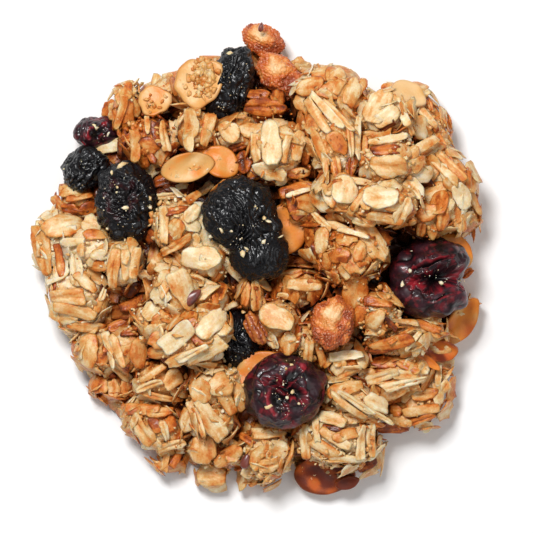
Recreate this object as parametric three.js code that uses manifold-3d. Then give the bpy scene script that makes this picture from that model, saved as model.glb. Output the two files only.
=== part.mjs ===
// A loose heap of baked granola: clusters of rolled oats with dried berries, almond slices and sugared nuts,
// as it lies on a table. Millimetres, +Z up, the origin on the table under the middle of the heap.
//
// The heap is one solid: a core that rises to a dome at each cluster, with oat flakes and seeds fused on and
// a pocket left for each berry, nut and slice. Those lie in their pockets as solids of their own.
import * as THREE from "three";
import { mergeVertices } from "three/addons/utils/BufferGeometryUtils.js";
import Module from "manifold-3d";

const wasm = await Module();
wasm.setup();

// Driving dimensions.
const PIXEL = 0.21; // mm of heap under one pixel of the picture that the places were read from
const PICTURE_CENTRE = [255, 261]; // the picture's point that is the origin
const POCKET = 0.5; // clearance round each loose piece
const FLAKE = { long: 7.8, wide: 5.8, rise: 0.9, root: 2.8 };
const SLIVER = { long: 6.8, wide: 2.6, rise: 0.9, root: 2.6 };
const SEED = { long: 4.6, wide: 2.3, rise: 0.7, root: 1.6 };
const ALMOND_THICK = 1.4;
const MOUND = { half: [42, 44], top: 13 }; // the packed middle of the heap
const CORE = { cells: 24, under: 0.4, foot: 1.5, rim: 0.98, undercut: 0.93 }; // the core under the flakes
const BED_INSET = 0.9; // mm from a loose piece's outline to that of the bed which the core makes for it
const SLIVER_SHARE = 0.3; // of the flakes, those that are split lengthwise
const FLAKE_STEP = 7.6; // mm between flakes
const FLAKE_RISE = 0.45; // mm from a cluster's dome to the middle of a flake
const FLAKE_RAGGED = 0.2; // share of its size by which a flake's corners are cut in, at most
const FLAKE_TIP = 16; // degrees at most from a flake to the dome under it
const FLAKE_ROOM = 2.4; // mm kept free of flakes round a loose piece
const DOME_SHARE = 0.8; // share of each dome's height, from its top down, that has flakes
const SIDE_ROWS = [3.4, 9]; // heights of the rows of flakes round the side
const SMALLEST_DETAIL = 0.15; // relief finer than this is smoothed out
const DRAW_BACK = 0.04; // mm between corners that would touch
const LOBE_BLEND = 12; // sharpness of the fold between a fruit's lobes
const NUT_WAVES = 5.5; // waves in a nut's crust, in radians over its half size
const [NUT_SIZE, NUT_RELIEF] = [0.92, 0.05]; // a nut's even size and its waves, as shares of its half size
const ALMOND_TAPER = 0.28; // share of its width that an almond slice loses at its tip
const GOLDEN_ANGLE = Math.PI * (3 - Math.sqrt(5));
const SEED_OF_DRAWS = 5;

// Clusters of oats: [picture x, y, half length, half width, turn in degrees, top height, thickness].
const CLUSTERS = {
  crown_tip: [330, 98, 7.0, 6.2, -20, 22, 17],
  crown_slats: [334, 143, 8.2, 5.8, -60, 27, 18],
  crown_brow: [386, 119, 6.2, 5.4, 0, 24, 18],
  crown_edge: [424, 122, 8.2, 4.8, -65, 15.5, 18],
  crown_middle: [386, 163, 6.2, 5.2, 0, 30, 18],
  crown_shoulder: [441, 178, 8.4, 6.2, -40, 19.5, 18],
  crown_front: [378, 204, 8.2, 4.6, 0, 31.5, 17],
  crown_left: [341, 193, 4.8, 4.8, 0, 29.5, 16],
  crown_skirt: [430, 212, 7.6, 4.4, 10, 21.5, 16],
  crown_chin: [458, 213, 4.8, 4.8, 0, 13.5, 16],
  crown_nub: [427, 229, 2.8, 2.4, 0, 17, 9],
  west_brow: [57, 241, 5.6, 6.2, 0, 12.5, 13],
  west_crown: [92, 246, 5.4, 4.8, 0, 17, 14],
  west_belly: [78, 293, 6.3, 7.6, 0, 14, 13],
  west_pair: [124, 262, 4.4, 5.2, 0, 20.5, 14],
  heart_west: [180, 226, 5.2, 5.6, 0, 24, 15],
  heart: [203, 257, 5.2, 4.6, 0, 23.5, 14],
  heart_south: [177, 288, 5.2, 5.6, 0, 24, 15],
  heart_gap: [148, 286, 2.8, 4.0, 0, 14, 8],
  crumb_ball: [157, 320, 4.7, 4.4, 0, 21, 13],
  rosette: [195, 336, 7.0, 5.2, 20, 25.5, 14],
  seed_bed: [209, 299, 4.4, 4.0, 0, 21.5, 12],
  southwest_lobe: [100, 350, 5.2, 4.6, 0, 12.5, 11],
  southwest_flakes: [128, 347, 4.6, 5.0, 0, 15.5, 12],
  southwest_foot: [115, 388, 5.0, 2.7, 0, 7.5, 9],
  southwest_slats: [160, 378, 4.8, 4.0, -20, 16, 11],
  south_wedge: [155, 425, 7.0, 4.8, -30, 12.5, 13],
  south_spur: [169, 461, 3.3, 2.3, 40, 6.5, 7.5],
  south_heart: [217, 385, 6.0, 4.6, 0, 19.5, 12],
  south_pair: [211, 417, 5.4, 4.0, -45, 17, 12],
  south_flake: [204, 448, 3.6, 3.4, 0, 11.5, 10],
  south_step: [231, 455, 3.8, 3.0, 20, 11, 10],
  south_toe: [212, 477, 3.1, 2.5, 0, 6, 7],
  south_crumb: [265, 450, 5.2, 5.4, 0, 14, 12],
  south_lip: [259, 480, 3.9, 2.1, 0, 6, 7],
  prow: [338, 436, 8.3, 6.0, -10, 17, 15],
  prow_slats: [354, 398, 7.0, 3.8, -30, 19, 13],
  prow_side: [366, 456, 3.4, 4.2, 0, 8.5, 9],
  southeast_slats: [397, 375, 6.6, 3.8, 10, 17, 12],
  southeast_rim: [418, 404, 6.6, 5.4, 20, 11.5, 12],
  southeast_nub: [440, 384, 2.6, 3.6, 0, 9.5, 9],
  caramel_slab: [396, 340, 7.0, 3.4, 0, 19.5, 13],
  caramel_knob: [376, 311, 4.5, 4.5, 0, 23.5, 14],
  caramel_ledge: [424, 328, 4.6, 2.4, -10, 15, 9],
  middle_gap: [352, 290, 3.6, 4.6, 0, 16, 10],
  middle_south: [306, 339, 3.6, 4.6, 0, 19.5, 13],
  middle_step: [347, 362, 4.0, 3.0, 0, 17.5, 11],
  middle_knob: [351, 254, 7.0, 6.0, 0, 26, 16],
  middle_west: [322, 238, 3.6, 4.8, 0, 22.5, 14],
  middle_flakes: [300, 286, 5.2, 3.2, 0, 20, 12],
  middle_split: [252, 295, 3.0, 3.6, 0, 20.5, 12],
  middle_dish: [277, 319, 4.6, 4.2, -30, 21.5, 13],
  middle_pair: [286, 345, 3.2, 2.6, 0, 18.5, 11],
  middle_north: [300, 202, 4.4, 4.4, 0, 21.5, 14],
  north_spire: [276, 150, 5.8, 6.6, 0, 25.5, 16],
  north_saddle: [236, 136, 4.8, 3.8, 0, 20, 12],
  north_lobes: [197, 130, 4.0, 4.2, 0, 21.5, 14],
  north_toast: [151, 141, 4.9, 5.0, 0, 18, 14],
  north_post: [124, 108, 3.2, 5.4, -10, 11, 13],
  north_bits: [250, 165, 3.6, 3.2, 0, 19.5, 10],
  north_step: [301, 169, 3.2, 3.0, 0, 19.5, 10],
  north_roast: [263, 106, 4.4, 3.0, 0, 17.5, 11],
  west_gap: [172, 193, 5.2, 3.2, 0, 15, 9],
  west_ledge: [78, 201, 4.4, 3.6, 0, 10.5, 10],
};

// Dried fruit: the place of its middle, its top height and its lobes, each [x, y, z of its middle, half sizes
// along x, y and z, turn]. Dents are [azimuth, elevation, width, depth]: the way each one faces, in degrees,
// and its depth as a share of the fruit's size.
const FRUIT = {
  dried_berry_centre: {
    at: [247, 229],
    top: 29,
    detail: 3,
    lobes: [
      [-1.4, 3.0, 0, 7.7, 7.5, 5.6, 0],
      [2.6, -5.2, -0.8, 6.3, 5.4, 4.8, 10],
    ],
    dents: [
      [60, 50, 24, 0.1],
      [215, 45, 26, 0.09],
      [20, 15, 24, 0.08],
    ],
  },
  dried_berry_west: {
    at: [127, 203],
    top: 21,
    detail: 3,
    lobes: [[0, 0, 0, 6.4, 8.7, 6, 8]],
    dents: [
      [120, 55, 24, 0.09],
      [250, 60, 26, 0.1],
      [20, 35, 24, 0.07],
    ],
  },
  dried_berry_shoulder: {
    at: [84, 170],
    top: 14.5,
    detail: 2,
    lobes: [
      [-0.6, 0, 0, 4.0, 4.7, 4.2, -20],
      [1.6, 1.2, 0, 3.6, 3.6, 3.8, 0],
    ],
    dents: [[90, 60, 24, 0.12]],
  },
  dried_berry_north: {
    at: [230, 84],
    top: 19,
    detail: 2,
    lobes: [[0, 0, 0, 4.9, 8.0, 5, -21]],
    dents: [
      [60, 50, 24, 0.1],
      [250, 55, 26, 0.1],
    ],
  },
  dried_berry_deep: {
    at: [238, 340],
    top: 17.5,
    detail: 2,
    lobes: [[0, 0, 0, 4.5, 5.8, 4, 10]],
    dents: [[80, 60, 26, 0.1]],
  },
  dried_cranberry_south: {
    at: [285, 390],
    top: 23.5,
    detail: 3,
    lobes: [
      [-1.0, -0.2, 0, 7.4, 7.7, 5.6, 0],
      [2.8, 0.4, -0.3, 5.6, 6.4, 5.0, 0],
    ],
    dents: [
      [200, 68, 20, 0.14],
      [20, 66, 20, 0.12],
      [100, 55, 18, 0.1],
      [300, 50, 20, 0.09],
    ],
  },
  dried_cranberry_east: {
    at: [430, 279],
    top: 21.5,
    detail: 3,
    lobes: [
      [0.4, 2.6, 0, 8.2, 5.4, 5.6, 10],
      [-0.4, -3.2, -0.2, 8.0, 5.0, 5.8, -4],
      [-2.6, 0, -0.4, 6.0, 7.2, 5.4, 0],
      [0.4, 6.6, -2.2, 4.0, 2.2, 3.0, 0],
    ],
    dents: [
      [340, 82, 16, 0.17],
      [5, 62, 17, 0.2],
      [8, 38, 18, 0.22],
      [10, 12, 20, 0.16],
    ],
  },
  dried_cranberry_corner: {
    at: [95, 133],
    top: 10.5,
    detail: 2,
    lobes: [
      [-1.4, 0.2, 0, 3.4, 3.4, 3.6, 0],
      [1.8, 0.6, 0, 3.4, 2.8, 3.4, 20],
    ],
    dents: [[270, 50, 24, 0.12]],
  },
};

// Nut pieces in a crust of sugar: [picture x, y, half length, half width, half height, turn, top height].
const NUTS = {
  sugared_nut_middle: [332, 322, 5.8, 4.6, 5.0, 80, 27],
  sugared_nut_north: [279, 74, 5.6, 4.0, 4.4, -42, 16.5],
  sugared_nut_tip: [264, 39, 4.9, 3.4, 4.6, -25, 9.8],
  pecan_sliver: [256, 328, 3.8, 1.9, 1.9, -63, 20.5],
};

// Almond slices: [picture x, y, half length, half width, turn, middle height, lean, side it leans to, curl].
const ALMONDS = {
  almond_middle: [285, 229, 5.5, 4.9, 90, 17.6, 4, 0, 0.2],
  almond_east: [462, 322, 6.2, 3.4, 52, 7.6, 30, -30, 0.7],
  almond_northeast: [456, 251, 4.6, 3.4, -40, 11.4, 22, 20, 0.5],
  almond_tile: [441, 350, 4.2, 2.5, -12, 11, 24, -70, 1.4],
  almond_splinter: [428, 361, 3.4, 1.0, -36, 13, 10, -90, 0.1],
  almond_south: [325, 477, 6.7, 4.3, 0, 4.6, 12, -90, 0.6],
  almond_chip: [348, 484, 2.7, 1.5, 15, 6.4, 16, -80, 0.2],
  almond_under: [262, 370, 6.2, 4.2, 20, 16.2, 12, 140, 0.5],
  almond_north: [200, 83, 6.1, 5.7, 40, 17.2, 15, 150, 0.4],
  almond_northwest: [155, 101, 4.0, 3.7, 0, 13.2, 16, 110, 0.5],
  almond_saddle: [189, 168, 5.9, 3.2, 12, 21.2, 12, -60, 0.9],
  almond_saddle_back: [221, 163, 4.4, 3.4, -30, 19.6, 10, 60, 0.5],
  almond_crown: [408, 95, 4.2, 3.3, -25, 17.6, 38, 60, 0.4],
};

// Flax seeds lying on the oats: [picture x, y, turn].
const FLAX = {
  heart: [193, 297, 40],
  south: [246, 460, 70],
  middle: [323, 226, -40],
  crown: [452, 196, -50],
};

const MATERIALS = {
  oats: { color: 0xd9ab68, roughness: 0.62 },
  berry: { color: 0x1c1b22, roughness: 0.5 },
  cranberry: { color: 0x47121e, roughness: 0.36 },
  sugar: { color: 0xb9713a, roughness: 0.55 },
  almond: { color: 0xdda562, roughness: 0.5 },
};

const radians = THREE.MathUtils.degToRad;
const material = Object.fromEntries(
  Object.entries(MATERIALS).map(([name, looks]) => [
    name,
    new THREE.MeshStandardMaterial({ ...looks, metalness: 0 }),
  ]),
);

// Repeatable draws from 0 to 1.
function draws(seed) {
  let state = seed >>> 0;
  return () => {
    state = (state + 0x6d2b79f5) >>> 0;
    let t = Math.imul(state ^ (state >>> 15), 1 | state);
    t = (t + Math.imul(t ^ (t >>> 7), 61 | t)) ^ t;
    return ((t ^ (t >>> 14)) >>> 0) / 4294967296;
  };
}
const draw = draws(SEED_OF_DRAWS);
const spread = (low, high) => low + (high - low) * draw();

function place(pictureX, pictureY) {
  return [(pictureX - PICTURE_CENTRE[0]) * PIXEL, (PICTURE_CENTRE[1] - pictureY) * PIXEL];
}

function merged(geometry) {
  const bare = new THREE.BufferGeometry().setAttribute("position", geometry.getAttribute("position"));
  if (geometry.index) bare.setIndex(geometry.index);
  return mergeVertices(bare, 1e-4);
}

// A closed solid from a geometry whose vertices are merged, without the empty triangles at its poles.
function solid(geometry) {
  const corners = geometry.index.array;
  const kept = [];
  for (let i = 0; i < corners.length; i += 3) {
    const [a, b, c] = corners.subarray(i, i + 3);
    if (a !== b && b !== c && c !== a) kept.push(a, b, c);
  }
  const vertProperties = new Float32Array(geometry.getAttribute("position").array);
  return new wasm.Manifold(new wasm.Mesh({ numProp: 3, vertProperties, triVerts: new Uint32Array(kept) }));
}

function meshOf(name, shape, kind) {
  const { vertProperties, triVerts } = shape.getMesh();
  const geometry = new THREE.BufferGeometry();
  geometry.setAttribute("position", new THREE.BufferAttribute(new Float32Array(vertProperties), 3));
  geometry.setIndex(new THREE.BufferAttribute(new Uint32Array(triVerts), 1));
  geometry.computeVertexNormals();
  const mesh = new THREE.Mesh(geometry, material[kind]);
  mesh.name = name;
  return mesh;
}

// A geometry with its like vertices merged and each one moved by a function.
function warped(geometry, move) {
  const shape = merged(geometry);
  const points = shape.getAttribute("position");
  const point = new THREE.Vector3();
  for (let i = 0; i < points.count; i++) {
    point.fromBufferAttribute(points, i);
    move(point);
    points.setXYZ(i, point.x, point.y, point.z);
  }
  return shape;
}

// A flake or seed that is fused on: a lathed dish, sharp at its rim and rooted below, stretched to its length
// and width, narrowed to one end and cut in at its corners by shares of its size.
function chip({ long, wide, rise, root, sides, narrow = 0, ragged = 0 }, matrix) {
  const profile = [new THREE.Vector2(0, -root), new THREE.Vector2(1, 0), new THREE.Vector2(0, rise)];
  const cuts = Array.from({ length: sides }, () => 1 - ragged * draw());
  const shape = warped(new THREE.LatheGeometry(profile, sides).rotateX(Math.PI / 2), (p) => {
    const corner = Math.round((Math.atan2(p.y, p.x) / (2 * Math.PI) + 1) * sides) % sides;
    const tip = 1 - narrow * Math.max(0, p.x) ** 2;
    p.set((p.x * cuts[corner] * long) / 2, (p.y * cuts[corner] * tip * wide) / 2, p.z);
  });
  return solid(shape.applyMatrix4(matrix));
}

// A thin slice with a blunt rim, as an almond's is.
function slab({ long, wide, thick, sides, narrow, curl }, matrix) {
  const disc = new THREE.CylinderGeometry(1, 1, thick, sides, 1).rotateX(Math.PI / 2);
  const shape = warped(disc, (p) => {
    const tip = 1 - narrow * Math.max(0, p.x) ** 2;
    const rise = curl * (p.y * p.y - 0.5);
    p.set((p.x * long) / 2, (p.y * tip * wide) / 2, p.z + rise);
  });
  return solid(shape.applyMatrix4(matrix));
}

// The matrix that lays a flat piece at a place, turned in its own plane and leant down towards one side.
function lay([x, y, z], turn, lean, side) {
  const axis = new THREE.Vector3(-Math.sin(radians(side)), Math.cos(radians(side)), 0);
  return new THREE.Matrix4()
    .makeTranslation(x, y, z)
    .multiply(new THREE.Matrix4().makeRotationAxis(axis, radians(lean)))
    .multiply(new THREE.Matrix4().makeRotationZ(radians(turn)));
}

// An egg-shaped lump as a plain record: its middle, half sizes and turn.
function lump([x, y], halfLong, halfWide, turn, top, thick) {
  return { x, y, z: top - thick / 2, half: [halfLong, halfWide, thick / 2], turn: radians(turn) };
}

const grown = (body, more) => ({ ...body, half: body.half.map((value) => value + more) });

// Where a point of the table lies on a lump's plan, as shares of its half length and half width.
function onPlan({ x, y, half, turn }, px, py) {
  const [dx, dy] = [px - x, py - y];
  const along = dx * Math.cos(turn) + dy * Math.sin(turn);
  const across = dy * Math.cos(turn) - dx * Math.sin(turn);
  return [along / half[0], across / half[1]];
}

// How far a point is from a lump's middle: under 1 inside the lump and over 1 outside it.
function reachOf(body, { x, y, z }) {
  return Math.hypot(...onPlan(body, x, y), (z - body.z) / body.half[2]);
}

// The height of a lump's dome over a point of the table, or 0 beside the lump.
function domeAt(body, x, y) {
  const left = 1 - Math.hypot(...onPlan(body, x, y)) ** 2;
  return left > 0 ? body.z + body.half[2] * Math.sqrt(left) : 0;
}

const heightAt = (bodies, x, y) => Math.max(...bodies.map((body) => domeAt(body, x, y)));

// How far a lobe reaches from the fruit's middle in one direction.
function lobeReach([x, y, z, a, b, c, turn], way) {
  const [cos, sin] = [Math.cos(radians(turn)), Math.sin(radians(turn))];
  const own = (px, py, pz) => new THREE.Vector3((px * cos + py * sin) / a, (py * cos - px * sin) / b, pz / c);
  const [d, o] = [own(way.x, way.y, way.z), own(x, y, z)];
  const [dd, od, oo] = [d.dot(d), d.dot(o), o.dot(o)];
  const root = od * od - dd * (oo - 1);
  return root < 0 ? 0 : Math.max(0, (od + Math.sqrt(root)) / dd);
}

const fruitMiddle = ({ top, lobes }) => top - Math.max(...lobes.map((lobe) => lobe[2] + lobe[5]));

// A dried fruit: in each direction from its middle, the smooth maximum of its lobes, less its dents.
function fruitSolid({ at, top, detail, lobes, dents }, grow = 0) {
  const facing = dents.map(([azimuth, elevation]) =>
    new THREE.Vector3(Math.cos(radians(azimuth)), Math.sin(radians(azimuth)), Math.tan(radians(elevation))),
  );
  const shape = warped(new THREE.IcosahedronGeometry(1, detail), (way) => {
    const reaches = lobes.map((lobe) => lobeReach(lobe, way) ** LOBE_BLEND);
    let size = reaches.reduce((sum, value) => sum + value) ** (1 / LOBE_BLEND);
    dents.forEach(([, , width, depth], i) => {
      size *= 1 - depth * Math.exp(-((way.angleTo(facing[i]) / radians(width)) ** 2));
    });
    way.multiplyScalar(size + grow);
  });
  return solid(shape.translate(...place(...at), fruitMiddle({ top, lobes })));
}

// A nut in its crust: an egg with low waves all over.
function nutSolid([px, py, long, wide, high, turn, top], grow = 0) {
  const shape = warped(new THREE.IcosahedronGeometry(1, 2), (way) => {
    const [u, v, w] = way.clone().multiplyScalar(NUT_WAVES).toArray();
    const size = NUT_SIZE + NUT_RELIEF * (Math.sin(u + px) + Math.sin(v + py) + Math.sin(w));
    way.multiply(new THREE.Vector3(long * size + grow, wide * size + grow, high * size + grow));
  });
  return solid(shape.rotateZ(radians(turn)).translate(...place(px, py), top - high));
}

function almondSolid([px, py, long, wide, turn, z, lean, side, curl], grow = 0) {
  const size = { long: 2 * (long + grow), wide: 2 * (wide + grow), thick: ALMOND_THICK + 2 * grow };
  const matrix = lay([...place(px, py), z], turn, lean, side);
  return slab({ ...size, sides: 12, narrow: ALMOND_TAPER, curl }, matrix);
}

// Every loose piece: its solid, its pocket, its outline as a lump, and the height of its middle plane.
function loosePieces() {
  const fruit = Object.entries(FRUIT).map(([name, data]) => {
    const half = [3, 4, 5].map((i) => Math.max(...data.lobes.map((lobe) => lobe[i])));
    return {
      name,
      kind: name.includes("cranberry") ? "cranberry" : "berry",
      shape: fruitSolid(data),
      pocket: fruitSolid(data, POCKET),
      body: lump(place(...data.at), half[0], half[1], data.lobes[0][6], data.top, 2 * half[2]),
      plane: () => fruitMiddle(data),
    };
  });
  const nuts = Object.entries(NUTS).map(([name, nut]) => {
    const [px, py, long, wide, high, turn, top] = nut;
    return {
      name,
      kind: "sugar",
      shape: nutSolid(nut),
      pocket: nutSolid(nut, POCKET),
      body: lump(place(px, py), long, wide, turn, top, 2 * high),
      plane: () => top - high,
    };
  });
  const almonds = Object.entries(ALMONDS).map(([name, almond]) => {
    const [px, py, long, wide, turn, z, lean, side] = almond;
    const [x, y] = place(px, py);
    const fall = Math.tan(radians(lean));
    return {
      name,
      kind: "almond",
      shape: almondSolid(almond),
      pocket: almondSolid(almond, POCKET),
      body: lump([x, y], long, wide, turn, z + ALMOND_THICK, 2 * ALMOND_THICK),
      plane: (tx, ty) => z - fall * ((tx - x) * Math.cos(radians(side)) + (ty - y) * Math.sin(radians(side))),
    };
  });
  return [...fruit, ...nuts, ...almonds];
}

// A solid whose corners that touch without being joined are drawn back, so that no two sheets share an edge.
function drawnApart(shape) {
  const { numVert, vertProperties, triVerts } = shape.getMesh();
  const cornerOf = (_, i) => new THREE.Vector3().fromArray(vertProperties, 3 * i);
  const corners = Array.from({ length: numVert }, cornerOf);
  const normals = corners.map(() => new THREE.Vector3());
  for (let i = 0; i < triVerts.length; i += 3) {
    const [a, b, c] = Array.from(triVerts.subarray(i, i + 3));
    const face = corners[b].clone().sub(corners[a]).cross(corners[c].clone().sub(corners[a]));
    for (const corner of [a, b, c]) normals[corner].add(face);
  }
  const meetings = Map.groupBy(corners.keys(), (i) => corners[i].toArray().map((v) => v.toFixed(2)).join());
  for (const meeting of meetings.values()) {
    if (meeting.length < 2) continue;
    for (const i of meeting) corners[i].addScaledVector(normals[i].normalize(), -DRAW_BACK);
  }
  const moved = new Float32Array(corners.flatMap((corner) => corner.toArray()));
  return new wasm.Manifold(new wasm.Mesh({ numProp: 3, vertProperties: moved, triVerts }));
}

const biggest = (shape) => shape.decompose().reduce((a, b) => (a.volume() >= b.volume() ? a : b));
const tidied = (shape) => drawnApart(biggest(shape.asOriginal().simplify(SMALLEST_DETAIL)));

// The farthest that any cluster comes from the middle in one direction.
function rimAt(bodies, angle) {
  const way = new THREE.Vector3(Math.cos(angle), Math.sin(angle), 0);
  const degrees = THREE.MathUtils.radToDeg;
  return Math.max(...bodies.map(({ x, y, half, turn }) => lobeReach([x, y, 0, ...half, degrees(turn)], way)));
}

// The upper surface: the clusters' domes, cut or filled to the middle plane of each loose piece.
function surfaceAt(bodies, loose, x, y) {
  const planes = loose
    .filter(({ body }) => Math.hypot(...onPlan(grown(body, -BED_INSET), x, y)) < 1)
    .map(({ plane }) => plane(x, y));
  return Math.max(CORE.foot, planes.length ? Math.min(...planes) : heightAt(bodies, x, y) - CORE.under);
}

// The core: a slab whose square top is drawn out to the heap's outline and raised to the upper surface. Its
// side leans in towards the table.
function coreSolid(bodies, loose, rimTo) {
  return solid(
    warped(new THREE.BoxGeometry(2, 2, 1, CORE.cells, CORE.cells, 1), (p) => {
      const [u, v] = [p.x * Math.sqrt(1 - (p.y * p.y) / 2), p.y * Math.sqrt(1 - (p.x * p.x) / 2)];
      const [x, y] = [u, v].map((value) => value * rimTo(Math.atan2(v, u)));
      if (p.z > 0) p.set(x, y, surfaceAt(bodies, loose, x, y));
      else p.set(x * CORE.undercut, y * CORE.undercut, 0);
    }),
  );
}

// Even places round a cluster's dome, in a sunflower spiral.
function* placesOnDome({ x, y, z, half, turn }) {
  const [a, b, c] = half;
  const area = 2 * Math.PI * (((a * b) ** 1.6 + (a * c) ** 1.6 + (b * c) ** 1.6) / 3) ** (1 / 1.6);
  const count = Math.round(area / FLAKE_STEP ** 2);
  const upright = new THREE.Vector3(0, 0, 1);
  for (let i = 0; i < count; i++) {
    const high = 1 - ((i + 0.5) / count) * DOME_SHARE;
    const out = Math.sqrt(1 - high * high);
    const angle = i * GOLDEN_ANGLE;
    const [along, across] = [out * Math.cos(angle), out * Math.sin(angle)];
    const point = new THREE.Vector3(along * a, across * b, high * c).applyAxisAngle(upright, turn);
    const normal = new THREE.Vector3(along / a, across / b, high / c).applyAxisAngle(upright, turn);
    yield { point: point.add(new THREE.Vector3(x, y, z)), normal: normal.normalize() };
  }
}

// Even places in rows round the core's side.
function* placesOnSide(bodies, loose, rimTo) {
  const count = Math.round((2 * Math.PI * MOUND.half[0]) / FLAKE_STEP);
  for (const [row, high] of SIDE_ROWS.entries()) {
    for (let i = 0; i < count; i++) {
      const angle = ((i + row / 2) / count) * 2 * Math.PI;
      const out = new THREE.Vector3(Math.cos(angle), Math.sin(angle), 0);
      const rim = rimTo(angle);
      const brow = surfaceAt(bodies, loose, out.x * rim, out.y * rim);
      if (high > brow) continue;
      const inset = THREE.MathUtils.lerp(CORE.undercut, 1, high / brow);
      yield { point: out.clone().multiplyScalar(rim * inset).setZ(high), normal: out };
    }
  }
}

// Flakes lie where nothing covers them, each turned and tipped its own way.
function flakeSolids(bodies, loose, rimTo) {
  const found = [];
  const add = ({ point, normal }) => {
    const kind = draw() < SLIVER_SHARE ? SLIVER : FLAKE;
    const size = spread(0.85, 1.1);
    const [turn, tip, tipSide] = [spread(0, 2 * Math.PI), spread(0, FLAKE_TIP), spread(0, 2 * Math.PI)];
    if (loose.some(({ body }) => reachOf(grown(body, FLAKE_ROOM), point) < 1)) return;
    const facing = new THREE.Quaternion().setFromUnitVectors(new THREE.Vector3(0, 0, 1), normal);
    const tipAxis = new THREE.Vector3(Math.cos(tipSide), Math.sin(tipSide), 0);
    const tipping = new THREE.Quaternion().setFromAxisAngle(tipAxis, radians(tip));
    const turning = new THREE.Quaternion().setFromAxisAngle(new THREE.Vector3(0, 0, 1), turn);
    facing.multiply(tipping).multiply(turning);
    point.addScaledVector(normal, FLAKE_RISE);
    const matrix = new THREE.Matrix4().compose(point, facing, new THREE.Vector3(size, size, size));
    found.push(chip({ ...kind, sides: 6, ragged: FLAKE_RAGGED }, matrix));
  };
  for (const body of bodies)
    for (const spot of placesOnDome(body)) {
      const { x, y, z } = spot.point;
      if (!bodies.some((other) => other !== body && domeAt(other, x, y) > z)) add(spot);
    }
  for (const spot of placesOnSide(bodies, loose, rimTo)) add(spot);
  return found;
}

function seedSolids(bodies) {
  return Object.values(FLAX).map(([px, py, turn]) => {
    const [x, y] = place(px, py);
    return chip({ ...SEED, sides: 8, narrow: 0.5 }, lay([x, y, heightAt(bodies, x, y)], turn, 0, 0));
  });
}

function heapSolid(loose) {
  const clusters = Object.values(CLUSTERS).map(([px, py, ...rest]) => lump(place(px, py), ...rest));
  const mound = lump([0, 0], ...MOUND.half, 0, MOUND.top, 2 * MOUND.top);
  const bodies = [mound, ...clusters];
  const outline = [...bodies, ...loose.map(({ body }) => grown(body, -BED_INSET))];
  const rimTo = (angle) => rimAt(outline, angle) * CORE.rim;
  const core = coreSolid(bodies, loose, rimTo);
  const fused = [...flakeSolids(bodies, loose, rimTo), ...seedSolids(bodies)];
  const table = solid(merged(new THREE.BoxGeometry(200, 200, 100).translate(0, 0, -50)));
  const pockets = wasm.Manifold.union(loose.map(({ pocket }) => pocket));
  return tidied(wasm.Manifold.union([core, ...fused]).subtract(table).subtract(pockets));
}

// Fruit is whole, nuts give way to fruit, and slices to both and to the slices before them.
function looseMeshes(loose) {
  return loose.map(({ name, kind, shape }, i) => {
    const before = loose.slice(0, i).map(({ pocket }) => pocket);
    return meshOf(name, tidied(before.reduce((rest, pocket) => rest.subtract(pocket), shape)), kind);
  });
}

const granola = new THREE.Group();
const loose = loosePieces();
granola.add(meshOf("oat_heap", heapSolid(loose), "oats"), ...looseMeshes(loose));

export default granola;
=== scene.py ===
import math

import bpy
import numpy as np
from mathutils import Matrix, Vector


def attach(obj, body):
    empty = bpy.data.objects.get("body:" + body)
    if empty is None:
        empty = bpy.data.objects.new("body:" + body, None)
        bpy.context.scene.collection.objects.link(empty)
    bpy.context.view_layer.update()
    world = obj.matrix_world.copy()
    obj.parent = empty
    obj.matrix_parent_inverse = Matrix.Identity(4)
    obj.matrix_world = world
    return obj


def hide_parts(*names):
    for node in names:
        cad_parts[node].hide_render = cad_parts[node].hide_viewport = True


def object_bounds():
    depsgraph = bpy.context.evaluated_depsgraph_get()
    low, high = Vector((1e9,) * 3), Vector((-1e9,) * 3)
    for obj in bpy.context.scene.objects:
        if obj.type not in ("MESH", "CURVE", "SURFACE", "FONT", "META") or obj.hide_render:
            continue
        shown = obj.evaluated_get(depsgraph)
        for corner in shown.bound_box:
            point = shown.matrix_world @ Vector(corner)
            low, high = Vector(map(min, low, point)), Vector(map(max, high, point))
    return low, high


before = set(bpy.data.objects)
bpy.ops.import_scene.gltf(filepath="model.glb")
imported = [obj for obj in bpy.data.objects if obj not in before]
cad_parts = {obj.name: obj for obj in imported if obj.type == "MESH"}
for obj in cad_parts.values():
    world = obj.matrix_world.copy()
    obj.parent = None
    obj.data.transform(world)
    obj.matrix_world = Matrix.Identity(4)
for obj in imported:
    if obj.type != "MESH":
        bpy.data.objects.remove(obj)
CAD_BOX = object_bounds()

bl_info = {
    "name": "Heap of granola",
    "version": (1, 0, 0),
    "blender": (4, 5, 0),
    "location": "View3D > Sidebar > Granola",
    "description": "Dresses a heap of granola: oat clusters, dried berries, almond slices and sugared nuts",
    "category": "Add Mesh",
}

# Lengths are millimetres until a mesh is made, and MM brings them to metres.
MM = 0.001
PIXEL = 0.21  # mm of heap under one pixel of the picture that the places were read from
PICTURE_CENTRE = (255, 261)  # the picture's point that is the origin
FRAME_CENTRE = (266.5, 266.5)  # the middle of the picture, where the camera looks
FRAME_WIDTH = 533 * PIXEL
GOLDEN_ANGLE = math.pi * (3 - math.sqrt(5))

CAMERA_HEIGHT = 950
FRAMED_HEIGHT = 12  # the height at which the frame's width is FRAME_WIDTH
SENSOR = 36
# Name, place in metres, size in metres and power in watts.
LAMPS = (("key", (-0.12, 0.24, 0.6), 0.17, 3.95), ("fill", (0.26, -0.2, 0.6), 0.5, 0.9))
SKY_LIGHT = 0.25
FLOOR_COLOUR = (0.95, 0.95, 0.95, 1)

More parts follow.
